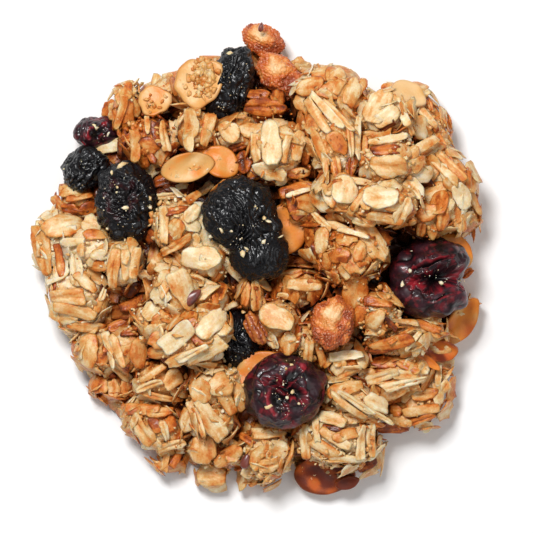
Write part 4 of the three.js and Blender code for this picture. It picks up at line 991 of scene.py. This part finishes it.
def nut_surface(name):
    """A nut in its crust: an egg with the low waves of the solid, and on them rough grains of sugar, the ridges
    between waves of three sizes, smoother where the nut shows through. The pecan has rows of ribs instead."""
    px, py, a, b, c, turn, top = NUTS[name]
    way, faces = sphere_grid(200, 110)
    u, v, w = (way * NUT_WAVES).T
    size = NUT_SIZE + NUT_RELIEF * (np.sin(u + px) + np.sin(v + py) + np.sin(w))
    point = way * size[:, None] * [a, b, c]
    turn = math.radians(turn)
    if name == "pecan_sliver":
        clear = abs(np.sin(point[:, 1] * 2.6 + 0.5 * waves(point, 3, 5)))
        relief = 0.25 * clear + 0.1 * waves(point, 0.9, 6)
    else:
        bare = [*turned(-0.15, 0.4, -turn), 0.9]
        off = ((way - bare) ** 2).sum(1)
        clear = np.clip(0.95 * np.exp(-off / 0.32) + 0.16 * waves(point, 3.2, py) + 0.1, 0, 1)
        relief = (0.16 * waves(point, 0.8, px + 1, 24) * (1.2 - clear) + 0.26 * waves(point, 3.0, px + 2)
                  + 0.14 * abs(waves(point, 1.5, px + 3)) - 0.1)
    point = point + way * relief[:, None]
    x, y, z = point.T
    corners = np.stack([*turned(x, y, turn), z], 1) + [*place(px, py), top - c]
    return corners, faces, {"clear": clear, "relief": relief, "grain": point}


def almond_surface(name):
    """An almond slice: a disc with a ragged outline, narrowed to its tip and curled across, top and underside half
    a thickness off its middle with a blunt rim, and shallow waves over all; then turned and leaned."""
    px, py, long, wide, turn, z0, lean, side, curl, brown = ALMONDS[name]
    radius, angle, face, faces = disc_pattern(72, ALMOND_RINGS, ALMOND_RINGS[::-1])
    ragged = CHIPPED if name in ("almond_north", "almond_northwest") else SMOOTH_EDGE
    edge = 1 - ragged * (2 + np.sin(3 * angle + px) + 0.8 * np.sin(5 * angle + 2 * px) + 0.4 * np.sin(9 * angle))
    u, v = radius * np.cos(angle), radius * np.sin(angle)
    x = u * long * edge
    y = v * wide * edge * (1 - ALMOND_TAPER * np.clip(u, 0, None) ** 2)
    flat = np.stack([x, y], 1)
    body = ALMOND_THICK / 2 * np.sqrt(np.clip(1 - radius**9, 0, 1)) * 0.94
    dish = -0.22 * (1 - radius**4) * (face > 0) + 0.1 * waves(flat, 4, px)
    z = face * body + curl * (v**2 - 0.5) + dish
    lean, side, turn = (math.radians(value) for value in (lean, side, turn))
    local = np.stack([*turned(x, y, turn), z], 1)
    axis = np.array([-math.sin(side), math.cos(side), 0])
    leaned = (local * math.cos(lean) + np.cross(axis, local) * math.sin(lean)
              + axis * (local @ axis)[:, None] * (1 - math.cos(lean)))
    looks = {
        "tone": brown + 0.14 * waves(flat, 5, px + 1),
        "rim": radius**14,
        "grain": np.stack([x, y, z + px % 7], 1),
    }
    return leaned + [*place(px, py), z0], faces, looks


def flax_cloud():
    """Flax seeds: a drop-shaped disc, thick in its middle and drawn to a point at one end."""
    px, py, turn, long = np.array(list(FLAX.values()), float).T
    x, y = place(px, py)
    radius, angle, side, faces = disc_pattern(24, (0.3, 0.55, 0.78, 0.92), (0.92, 0.6))
    u, v = radius * np.cos(angle), radius * np.sin(angle) * (1 - 0.35 * np.cos(angle) * radius)
    half = long[:, None] * PIXEL / 2
    across, over = turned(u * half, v * half * FLAX_WIDE, np.radians(turn)[:, None])
    z = np.broadcast_to(side * FLAX_THICK * np.sqrt(np.clip(1 - radius**2.2, 0, 1)), across.shape)
    top = domes(HEAP_BODIES, x, y).max(0)
    top = np.where(py < TIP_TOP, TIP_HEIGHT, np.where(top > 0, top, BESIDE_HEIGHT))
    points = np.stack([across + x[:, None], over + y[:, None], z + top[:, None] + 2.2], -1).reshape(-1, 3)
    return points, repeated(faces, len(x), len(radius)), {"grain": points}


def mesh_piece(name, corners, faces, attributes, material, replaced=()):
    """A Blender object at the origin from corners in mm, triangles, and values on the corners."""
    mesh = bpy.data.meshes.new(name)
    mesh.from_pydata((corners * MM).tolist(), [], faces.tolist())
    for key, values in attributes.items():
        values = np.ascontiguousarray(values, np.float32)
        if values.ndim == 1:
            mesh.attributes.new(key, "FLOAT", "POINT").data.foreach_set("value", values)
        else:
            mesh.attributes.new(key, "FLOAT_VECTOR", "POINT").data.foreach_set("vector", values.ravel())
    mesh.shade_smooth()
    mesh.materials.append(material)
    piece = bpy.data.objects.new(name, mesh)
    bpy.context.scene.collection.objects.link(piece)
    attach(piece, "root")
    if replaced:
        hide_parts(*replaced)
    return piece


def linear(red, green, blue):
    """A colour read from a screen, 0 to 255, as Blender's linear values."""
    shares = (red / 255, green / 255, blue / 255)
    return (*(v / 12.92 if v <= 0.04045 else ((v + 0.055) / 1.055) ** 2.4 for v in shares), 1.0)


def stops(*rows):
    """The stops of a colour ramp from rows of place, red, green and blue as read from a screen."""
    return [(at, linear(*colour)) for at, *colour in rows]


def feed(tree, socket, value):
    """Give a node's input a value, or link the socket that feeds it."""
    if isinstance(value, bpy.types.NodeSocket):
        tree.links.new(value, socket)
    else:
        socket.default_value = value


def node(tree, kind, inputs=None, **settings):
    """A node with its settings, and each input given as a value or as the socket that feeds it."""
    made = tree.nodes.new(kind)
    for key, value in settings.items():
        setattr(made, key, value)
    for key, value in (inputs or {}).items():
        feed(tree, made.inputs[key], value)
    return made


def arithmetic(tree, operation, *values, clamp=False):
    """The result of a Math node."""
    return node(tree, "ShaderNodeMath", dict(enumerate(values)), operation=operation, use_clamp=clamp).outputs[0]


def times(tree, value, share, clamp=False):
    """A value times a share."""
    return arithmetic(tree, "MULTIPLY", value, share, clamp=clamp)


def less(tree, value, taken, clamp=False):
    """A value less another."""
    return arithmetic(tree, "SUBTRACT", value, taken, clamp=clamp)


def plus(tree, base, value, share=1.0, clamp=False):
    """A base plus a share of a value."""
    return arithmetic(tree, "MULTIPLY_ADD", value, share, base, clamp=clamp)


def noise(tree, vector, scale, detail=3.0, rough=0.55):
    """Noise from 0 to 1."""
    values = {"Vector": vector, "Scale": scale, "Detail": detail, "Roughness": rough}
    return node(tree, "ShaderNodeTexNoise", values).outputs["Fac"]


def swing(tree, vector, scale, detail=3.0, rough=0.55):
    """Noise from -0.5 to 0.5."""
    return less(tree, noise(tree, vector, scale, detail, rough), 0.5)


def stretched(tree, vector, by):
    """A vector multiplied axis by axis."""
    return node(tree, "ShaderNodeVectorMath", {0: vector, 1: by}, operation="MULTIPLY").outputs[0]


def attribute(tree, name, output="Fac"):
    """A value that the mesh carries on its corners."""
    return node(tree, "ShaderNodeAttribute", attribute_name=name).outputs[output]


def ramp(tree, factor, colours):
    """A smooth ramp through stops, each its place and its colour."""
    made = node(tree, "ShaderNodeValToRGB", {"Fac": factor})
    made.color_ramp.interpolation = "EASE"
    bar = made.color_ramp.elements
    bar[0].position, bar[0].color = colours[0]
    bar[1].position, bar[1].color = colours[-1]
    for position, colour in colours[1:-1]:
        bar.new(position).color = colour
    return made.outputs["Color"]


def mixed(tree, factor, a, b):
    """Two colours mixed by a factor."""
    made = node(tree, "ShaderNodeMix", data_type="RGBA", blend_type="MIX")
    for socket, value in zip((made.inputs["Factor"], made.inputs[6], made.inputs[7]), (factor, a, b)):
        feed(tree, socket, value)
    return made.outputs[2]


def grouped(name, inputs, outputs):
    """A shader node group with named sockets, each input (socket type, name, default)."""
    tree = bpy.data.node_groups.new(name, "ShaderNodeTree")
    for kind, label, default in inputs:
        socket = tree.interface.new_socket(label, in_out="INPUT", socket_type=kind)
        if default is not None:
            socket.default_value = default
    for kind, label in outputs:
        tree.interface.new_socket(label, in_out="OUTPUT", socket_type=kind)
    return tree, tree.nodes.new("NodeGroupInput"), tree.nodes.new("NodeGroupOutput")


def use(tree, group, inputs):
    """A group placed in a material with its own values."""
    return node(tree, "ShaderNodeGroup", inputs, node_tree=bpy.data.node_groups[group])


def roast_and_gap_shade_group():
    """Roast and gap shade: the colour of oats from cream through gold to brown, mottled at three sizes, browner in
    grooves and pooled syrup and paler at a flake's rim, with painted shade that darkens them deep in the gaps between
    clusters, and how glossy its syrup is."""
    colours = bpy.context.scene.granola_looks
    tree, source, sink = grouped(
        "Roast and gap shade",
        [("NodeSocketVector", "Grain", None), ("NodeSocketFloat", "Tone", 0.3), ("NodeSocketFloat", "Groove", 0.0),
         ("NodeSocketFloat", "Rim", 0.0), ("NodeSocketFloat", "Depth", 0.0), ("NodeSocketFloat", "Mottle", 0.5)],
        [("NodeSocketColor", "Color"), ("NodeSocketFloat", "Gloss")],
    )
    given = source.outputs
    grain, depth = given["Grain"], given["Depth"]
    streaks = times(tree, swing(tree, stretched(tree, grain, (0.35, 1.2, 1.0)), 0.8), 0.75)
    mottling = plus(tree, streaks, swing(tree, grain, 0.33, 2.0))
    mottling = plus(tree, mottling, swing(tree, grain, 2.2, 4.0, 0.7), 0.5)
    flecks = arithmetic(tree, "GREATER_THAN", noise(tree, grain, 3.1, 2.0, 0.5), 0.68)
    spot = node(tree, "ShaderNodeTexCoord").outputs["Object"]
    pooled = less(tree, noise(tree, spot, 190.0, 2.0, 0.6), 0.55, clamp=True)
    pooled = times(tree, pooled, 5.0, clamp=True)
    tone = given["Tone"]
    for value, share in ((mottling, given["Mottle"]), (flecks, 0.1), (given["Groove"], 0.2), (given["Rim"], 1.0),
                         (pooled, 0.14)):
        tone = plus(tree, tone, value, share)
    # Painted shade: the deeper a point lies in a gap between clusters, the further its tone is pushed towards brown.
    tone = plus(tree, tone, arithmetic(tree, "POWER", depth, 1.3), 0.6, clamp=True)
    shades = colours.cream, colours.pale, colours.gold, colours.toasted, colours.brown, colours.burnt
    colour = ramp(tree, tone, list(zip((0.0, 0.22, 0.42, 0.6, 0.78, 1.0), map(tuple, shades))))
    # Painted shade: deep in the gaps the colour is mixed towards a dark brown, up to 85 per cent at the bottom of a
    # gap.
    shade = times(tree, arithmetic(tree, "POWER", depth, 1.6), 0.85, clamp=True)
    tree.links.new(mixed(tree, shade, colour, linear(64, 31, 14)), sink.inputs["Color"])
    gloss = times(tree, less(tree, tone, 0.25, clamp=True), 1.2, clamp=True)
    tree.links.new(plus(tree, gloss, pooled, 0.5, clamp=True), sink.inputs["Gloss"])


def skin_group():
    """Skin: the height of fine creases and pores, for a Bump node: noise and the distance between cells."""
    tree, source, sink = grouped(
        "Skin",
        [("NodeSocketVector", "Grain", None), ("NodeSocketFloat", "Size", 1.0)],
        [("NodeSocketFloat", "Height")],
    )
    scaled = node(tree, "ShaderNodeVectorMath", {0: source.outputs["Grain"]}, operation="SCALE")
    tree.links.new(source.outputs["Size"], scaled.inputs["Scale"])
    fine = noise(tree, scaled.outputs[0], 1.0, 4.0, 0.6)
    cells = node(tree, "ShaderNodeTexVoronoi", {"Vector": scaled.outputs[0], "Scale": 1.3}).outputs["Distance"]
    tree.links.new(plus(tree, fine, cells, 0.35), sink.inputs["Height"])


def new_material(name, rough, specular=0.5, subsurface=0.0, radius=(1.0, 0.6, 0.3), coat=0.0, coat_rough=0.3):
    """A material, its tree and its shader, with the values that are the same all over it."""
    material = bpy.data.materials.new(name)
    material.use_nodes = True
    tree = material.node_tree
    shader = tree.nodes["Principled BSDF"]
    for key, value in (
            ("Roughness", rough), ("Specular IOR Level", specular), ("Subsurface Weight", subsurface),
            ("Subsurface Radius", radius), ("Subsurface Scale", MM), ("Coat Weight", coat),
            ("Coat Roughness", coat_rough)):
        shader.inputs[key].default_value = value
    return material, tree, shader


def creased(tree, shader, grain, size, strength, distance):
    """Bump a material with fine creases of a size, to a strength and a distance in mm."""
    height = use(tree, "Skin", {"Grain": grain, "Size": size}).outputs[0]
    bump = node(tree, "ShaderNodeBump", {"Height": height, "Strength": strength, "Distance": distance * MM})
    tree.links.new(bump.outputs[0], shader.inputs["Normal"])


def oats(name, mottle, bump, size, rough=0.55):
    """Baked oats, made once for each name: matte where pale, glossier where roasted or where syrup pooled."""
    if name in bpy.data.materials:
        return bpy.data.materials[name]
    material, tree, shader = new_material(name, rough, 0.38, 0.3, (1.6, 0.8, 0.35))
    grain = attribute(tree, "grain", "Vector")
    values = {key.title(): attribute(tree, key) for key in ("tone", "groove", "rim", "depth")}
    # Its colour includes painted shade deep in the gaps, set by the depth attribute.
    roast_and_shade = use(tree, "Roast and gap shade", {"Grain": grain, "Mottle": mottle, **values})
    tree.links.new(roast_and_shade.outputs["Color"], shader.inputs["Base Color"])
    tree.links.new(arithmetic(tree, "MULTIPLY_ADD", roast_and_shade.outputs["Gloss"], -0.2, rough), shader.inputs["Roughness"])
    creased(tree, shader, grain, size, bump, 0.25)
    return material


def fruit_material(name, colours, rough, coat, crest_sheen_colour, crest_sheen_share, size, bump, flesh):
    """Dried fruit: dark skin with a faint painted sheen on its crests, painted shade that turns its valleys and hollows
    black, and red at the hollows' torn lips."""
    material, tree, shader = new_material(name, rough, 0.3, coat=coat, coat_rough=0.1)
    grain, ridge = attribute(tree, "grain", "Vector"), attribute(tree, "ridge")
    specks = noise(tree, grain, 1.6, 4.0, 0.7)
    # Painted sheen: the wrinkles' crests are lightened towards a sheen colour, speckled.
    crest_sheen_mask = times(tree, times(tree, arithmetic(tree, "POWER", ridge, 3.0), specks), crest_sheen_share, clamp=True)
    # Painted shade: the valleys between wrinkles are mixed towards black.
    valley_shade = times(tree, less(tree, 0.62, ridge, clamp=True), 2.2, clamp=True)
    # Painted shade: the insides of the hollows are mixed towards black.
    inside = times(tree, attribute(tree, "inside"), 1.3, clamp=True)
    torn = times(tree, less(tree, noise(tree, grain, 0.5, 3.0, 0.6), 0.4, clamp=True), 5.0, clamp=True)
    shown = times(tree, times(tree, attribute(tree, "flesh"), torn, clamp=True), flesh)
    colour = ramp(tree, noise(tree, grain, 0.42, 3.0, 0.6), colours)
    # Painted sheen on the crests, painted shade in the valleys and hollows, then the real red of torn flesh at the
    # lips.
    for mask, over in ((crest_sheen_mask, crest_sheen_colour), (valley_shade, linear(6, 5, 6)), (inside, linear(10, 5, 7)),
                       (shown, linear(150, 34, 44))):
        colour = mixed(tree, mask, colour, over)
    tree.links.new(colour, shader.inputs["Base Color"])
    tree.links.new(arithmetic(tree, "MULTIPLY_ADD", specks, 0.3, rough - 0.15), shader.inputs["Roughness"])
    creased(tree, shader, grain, size, bump, 0.3)
    return material


def nut_material():
    """Nut under a rough sugar crust: red-brown syrup, paler where the nut shows, with bright sugar grains."""
    material, tree, shader = new_material("Sugared nut", 0.46, 0.45, 0.1, (1.4, 0.6, 0.25), coat=0.15)
    grain = attribute(tree, "grain", "Vector")
    clear = plus(tree, attribute(tree, "clear"), swing(tree, grain, 0.5), 0.9)
    colour = ramp(tree, clear, stops(
        (0.0, 150, 62, 22), (0.25, 196, 96, 36), (0.5, 218, 134, 62), (0.8, 232, 176, 116), (1.0, 240, 200, 150)))
    specks = arithmetic(tree, "GREATER_THAN", noise(tree, grain, 3.2, 2.0, 0.6), 0.62)
    colour = mixed(tree, times(tree, specks, 0.5), colour, linear(244, 210, 168))
    tree.links.new(colour, shader.inputs["Base Color"])
    creased(tree, shader, grain, 1.6, 0.6, 0.3)
    return material


def pecan_material():
    """Pecan: dark between its ribs and tan on them, with a thin glaze."""
    material, tree, shader = new_material("Pecan", 0.35, coat=0.4)
    grain = attribute(tree, "grain", "Vector")
    tone = plus(tree, times(tree, attribute(tree, "clear"), 0.4), noise(tree, grain, 0.8), 0.7)
    colour = ramp(tree, tone, stops((0.2, 74, 26, 12), (0.5, 150, 68, 26), (0.9, 206, 128, 62)))
    tree.links.new(colour, shader.inputs["Base Color"])
    creased(tree, shader, grain, 1.8, 0.4, 0.2)
    return material


def almond_material():
    """Almond slice: smooth flesh from ivory to deep amber, softly streaked, with a thin dark skin round its rim."""
    material, tree, shader = new_material("Almond", 0.36, 0.3, 0.12, (1.6, 0.8, 0.35))
    grain = attribute(tree, "grain", "Vector")
    tone = plus(tree, attribute(tree, "tone"), swing(tree, stretched(tree, grain, (0.4, 1.0, 1.0)), 0.3, 2.0), 0.42)
    tone = plus(tree, tone, swing(tree, grain, 2.4, 3.0, 0.7), 0.14, clamp=True)
    pale, dark = stops((0.0, 232, 192, 138), (0.25, 218, 164, 94)), stops((0.78, 188, 88, 24), (1.0, 104, 38, 16))
    flat_side = (0.5, tuple(bpy.context.scene.granola_looks.almond))
    colour = ramp(tree, tone, [*pale, flat_side, *dark])
    rim = times(tree, attribute(tree, "rim"), 0.55)
    tree.links.new(mixed(tree, rim, colour, linear(142, 78, 36)), shader.inputs["Base Color"])
    creased(tree, shader, grain, 1.5, 0.25, 0.2)
    return material


def flax_material():
    """Flax: smooth red-brown husk with a glaze."""
    material, tree, shader = new_material("Flax", 0.3, coat=0.3)
    patches = noise(tree, attribute(tree, "grain", "Vector"), 0.6)
    colour = ramp(tree, patches, stops((0.3, 76, 28, 22), (0.55, 116, 54, 42), (0.75, 146, 88, 72)))
    tree.links.new(colour, shader.inputs["Base Color"])
    return material


def colour_property(name, description, *rgb):
    """A colour that a user can change, with its default as read from a screen."""
    return bpy.props.FloatVectorProperty(
        name=name, description=description, subtype="COLOR", size=4, min=0, max=1, default=linear(*rgb))


class GranolaLooks(bpy.types.PropertyGroup):
    """Sizes and colours of the granola."""

    flake_step: bpy.props.FloatProperty(
        name="Flake step", description="Distance between broad flakes", default=0.0034, unit="LENGTH")
    sliver_step: bpy.props.FloatProperty(
        name="Sliver step", description="Distance between split flakes", default=0.0058, unit="LENGTH")
    crumbs: bpy.props.IntProperty(name="Crumbs", description="Number of crumbs on the oats", default=6500)
    cream: colour_property("Cream", "Oats with hardly any roast", 243, 224, 190)
    pale: colour_property("Pale", "Lightly roasted oats", 231, 198, 148)
    gold: colour_property("Gold", "Golden oats", 217, 158, 90)
    toasted: colour_property("Toasted", "Toasted oats under syrup", 204, 116, 44)
    brown: colour_property("Brown", "Oats roasted brown", 158, 73, 23)
    burnt: colour_property("Burnt", "The darkest syrup", 92, 41, 16)
    almond: colour_property("Almond", "Flat side of an almond slice", 222, 132, 44)


class CoreOperator(bpy.types.Operator):
    """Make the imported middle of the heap"""

    bl_idname = "granola.core"
    bl_label = "Packed oats"

    def execute(self, context):
        piece = mesh_piece("packed_oats", *core_surface(), oats("Packed oats", 0.9, 0.8, 1.2), ("oat_heap",))
        return {"FINISHED"}


class FlakesOperator(bpy.types.Operator):
    """Lay broad flakes and split flakes over the heap"""

    bl_idname = "granola.flakes"
    bl_label = "Oat flakes"

    def execute(self, context):
        looks = context.scene.granola_looks
        broad = scattered_flakes(
            41, looks.flake_step / MM, half_long=(2.5, 3.9), half_wide=(1.7, 2.8), sides=15, tip=0.26, lift=0.3,
            thick=0.29, past_rim=9)
        split = scattered_flakes(
            57, looks.sliver_step / MM, half_long=(2.2, 3.6), half_wide=(0.8, 1.4), sides=10, tip=0.4, lift=0.4,
            thick=0.34, past_rim=0.9)
        for name, cloud in (("broad_flakes", broad), ("split_flakes", split)):
            mesh_piece(name, *cloud, oats("Oat flake", 1.0, 0.5, 1.4, 0.46))
        return {"FINISHED"}


class TopFlakesOperator(bpy.types.Operator):
    """Lay the flakes that show whole on top"""

    bl_idname = "granola.top_flakes"
    bl_label = "Top flakes"

    def execute(self, context):
        at, axes, half, tone = top_flake_places()
        corners, faces, looks = flake_cloud(
            at, axes, half, tone + 0.05, 77, 30, (0.25, 0.5, 0.72, 0.9), (0.8,), thick=0.36, crease=1.1, ragged=0.6)
        looks["depth"] = np.zeros(len(corners))
        piece = mesh_piece("top_flakes", corners, faces, looks, oats("Top flake", 0.9, 0.5, 1.4, 0.46))
        return {"FINISHED"}


class CrumbsOperator(bpy.types.Operator):
    """Strew crumbs over the oats and the fruit"""

    bl_idname = "granola.crumbs"
    bl_label = "Crumbs"

    def execute(self, context):
        material = oats("Crumb", 0.5, 0.4, 1.6, 0.4)
        rng = np.random.default_rng(92)
        at, size = oat_crumb_places(context.scene.granola_looks.crumbs, 91)
        tone = cluster_tone(at) + rng.normal(0.02, 0.16, len(at))
        # Painted shade: the crumbs' gap depth darkens those that lie deep between clusters.
        mesh_piece("oat_crumbs", *crumb_cloud(at, size, tone, gap_depth(*at.T), 93), material)
        on_fruit, on_almonds = fruit_crumb_places(), almond_crumb_places()
        tone = np.concatenate([
            rng.uniform(-0.05, 0.3, len(on_fruit[0])), rng.uniform(0.28, 0.6, len(on_almonds[0]))])
        at, size = (np.concatenate(pair) for pair in zip(on_fruit, on_almonds))
        mesh_piece("fruit_crumbs", *crumb_cloud(at, size, tone, 0 * tone, 94), material)
        return {"FINISHED"}


class FruitOperator(bpy.types.Operator):
    """Make the dried berries and cranberries"""

    bl_idname = "granola.fruit"
    bl_label = "Dried fruit"

    def execute(self, context):
        # The crest sheen colours are painted sheen: bluish grey on the berries, purplish on the cranberries.
        berry = fruit_material(
            "Dried berry", stops((0.3, 8, 8, 10), (0.6, 14, 13, 15), (0.8, 34, 18, 22)), rough=0.28, coat=0.15,
            crest_sheen_colour=linear(52, 54, 64), crest_sheen_share=0.15, size=1.6, bump=0.3, flesh=0.1)
        cranberry = fruit_material(
            "Dried cranberry", stops((0.36, 14, 8, 11), (0.52, 38, 12, 17), (0.64, 100, 20, 26), (0.78, 140, 30, 34)),
            rough=0.38, coat=0.22, crest_sheen_colour=linear(116, 62, 78), crest_sheen_share=0.38, size=0.7, bump=0.06, flesh=1.0)
        for name in SKINS:
            red = "cranberry" in name
            piece = mesh_piece(name + "_skin", *fruit_surface(name), cranberry if red else berry, (name,))
        return {"FINISHED"}


class NutsOperator(bpy.types.Operator):
    """Make the sugared nuts"""

    bl_idname = "granola.nuts"
    bl_label = "Sugared nuts"

    def execute(self, context):
        sugared, pecan = nut_material(), pecan_material()
        for name in NUTS:
            material = pecan if name == "pecan_sliver" else sugared
            mesh_piece(name + "_crust", *nut_surface(name), material, (name,))
        return {"FINISHED"}


class AlmondsOperator(bpy.types.Operator):
    """Make the almond slices"""

    bl_idname = "granola.almonds"
    bl_label = "Almond slices"

    def execute(self, context):
        material = almond_material()
        for name in ALMONDS:
            mesh_piece(name + "_slice", *almond_surface(name), material, (name,))
        return {"FINISHED"}


class SeedsOperator(bpy.types.Operator):
    """Lay the flax seeds"""

    bl_idname = "granola.seeds"
    bl_label = "Flax seeds"

    def execute(self, context):
        mesh_piece("flax_seeds", *flax_cloud(), flax_material())
        return {"FINISHED"}


class StageOperator(bpy.types.Operator):
    """Make the floor, the lights and the camera"""

    bl_idname = "granola.stage"
    bl_label = "Stage"

    def execute(self, context):
        scene = context.scene
        mesh = bpy.data.meshes.new("floor")
        mesh.from_pydata([(-2, -2, 0), (2, -2, 0), (2, 2, 0), (-2, 2, 0)], [], [(0, 1, 2, 3)])
        material, _, shader = new_material("Floor", 0.9, 0.1)
        shader.inputs["Base Color"].default_value = FLOOR_COLOUR
        mesh.materials.append(material)
        floor = bpy.data.objects.new("floor", mesh)
        scene.collection.objects.link(floor)

        scene.world = bpy.data.worlds.new("Studio")
        scene.world.use_nodes = True
        sky = scene.world.node_tree.nodes["Background"]
        sky.inputs["Color"].default_value = (1, 1, 1, 1)
        sky.inputs["Strength"].default_value = SKY_LIGHT
        for name, at, size, power in LAMPS:
            light = bpy.data.lights.new(name, "AREA")
            light.energy, light.size = power, size
            lamp = bpy.data.objects.new(name, light)
            lamp.location = at
            lamp.rotation_mode = "QUATERNION"
            lamp.rotation_quaternion = (Vector((0, 0, 0.01)) - Vector(at)).to_track_quat("-Z", "Y")
            scene.collection.objects.link(lamp)

        camera = bpy.data.cameras.new("camera")
        camera.sensor_width = SENSOR
        camera.lens = SENSOR * (CAMERA_HEIGHT - FRAMED_HEIGHT) / FRAME_WIDTH
        eye = bpy.data.objects.new("camera", camera)
        eye.location = Vector((*place(*FRAME_CENTRE), CAMERA_HEIGHT)) * MM
        scene.collection.objects.link(eye)
        scene.camera = eye
        scene.view_settings.view_transform = "Standard"
        return {"FINISHED"}


class GranolaPanel(bpy.types.Panel):
    """Lists the steps that dress the heap"""

    bl_idname = "VIEW3D_PT_granola"
    bl_label = "Granola"
    bl_space_type = "VIEW_3D"
    bl_region_type = "UI"
    bl_category = "Granola"

    def draw(self, context):
        for key in GranolaLooks.__annotations__:
            self.layout.prop(context.scene.granola_looks, key)
        for operator in OPERATORS:
            self.layout.operator(operator.bl_idname)


OPERATORS = (StageOperator, CoreOperator, FlakesOperator, TopFlakesOperator, CrumbsOperator, FruitOperator,
             NutsOperator, AlmondsOperator, SeedsOperator)
CLASSES = (GranolaLooks, *OPERATORS, GranolaPanel)


def register():
    """Make the classes known to Blender, and give the scene its looks."""
    for made in CLASSES:
        bpy.utils.register_class(made)
    bpy.types.Scene.granola_looks = bpy.props.PointerProperty(type=GranolaLooks)


def unregister():
    """Take back what register did."""
    del bpy.types.Scene.granola_looks
    for made in reversed(CLASSES):
        bpy.utils.unregister_class(made)


def main():
    """Register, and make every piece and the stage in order."""
    register()
    roast_and_gap_shade_group()
    skin_group()
    for operator in OPERATORS:
        group, step = operator.bl_idname.split(".")
        if getattr(getattr(bpy.ops, group), step)() != {"FINISHED"}:
            raise RuntimeError(operator.bl_label + " wasn't made")


if __name__ == "__main__":
    main()
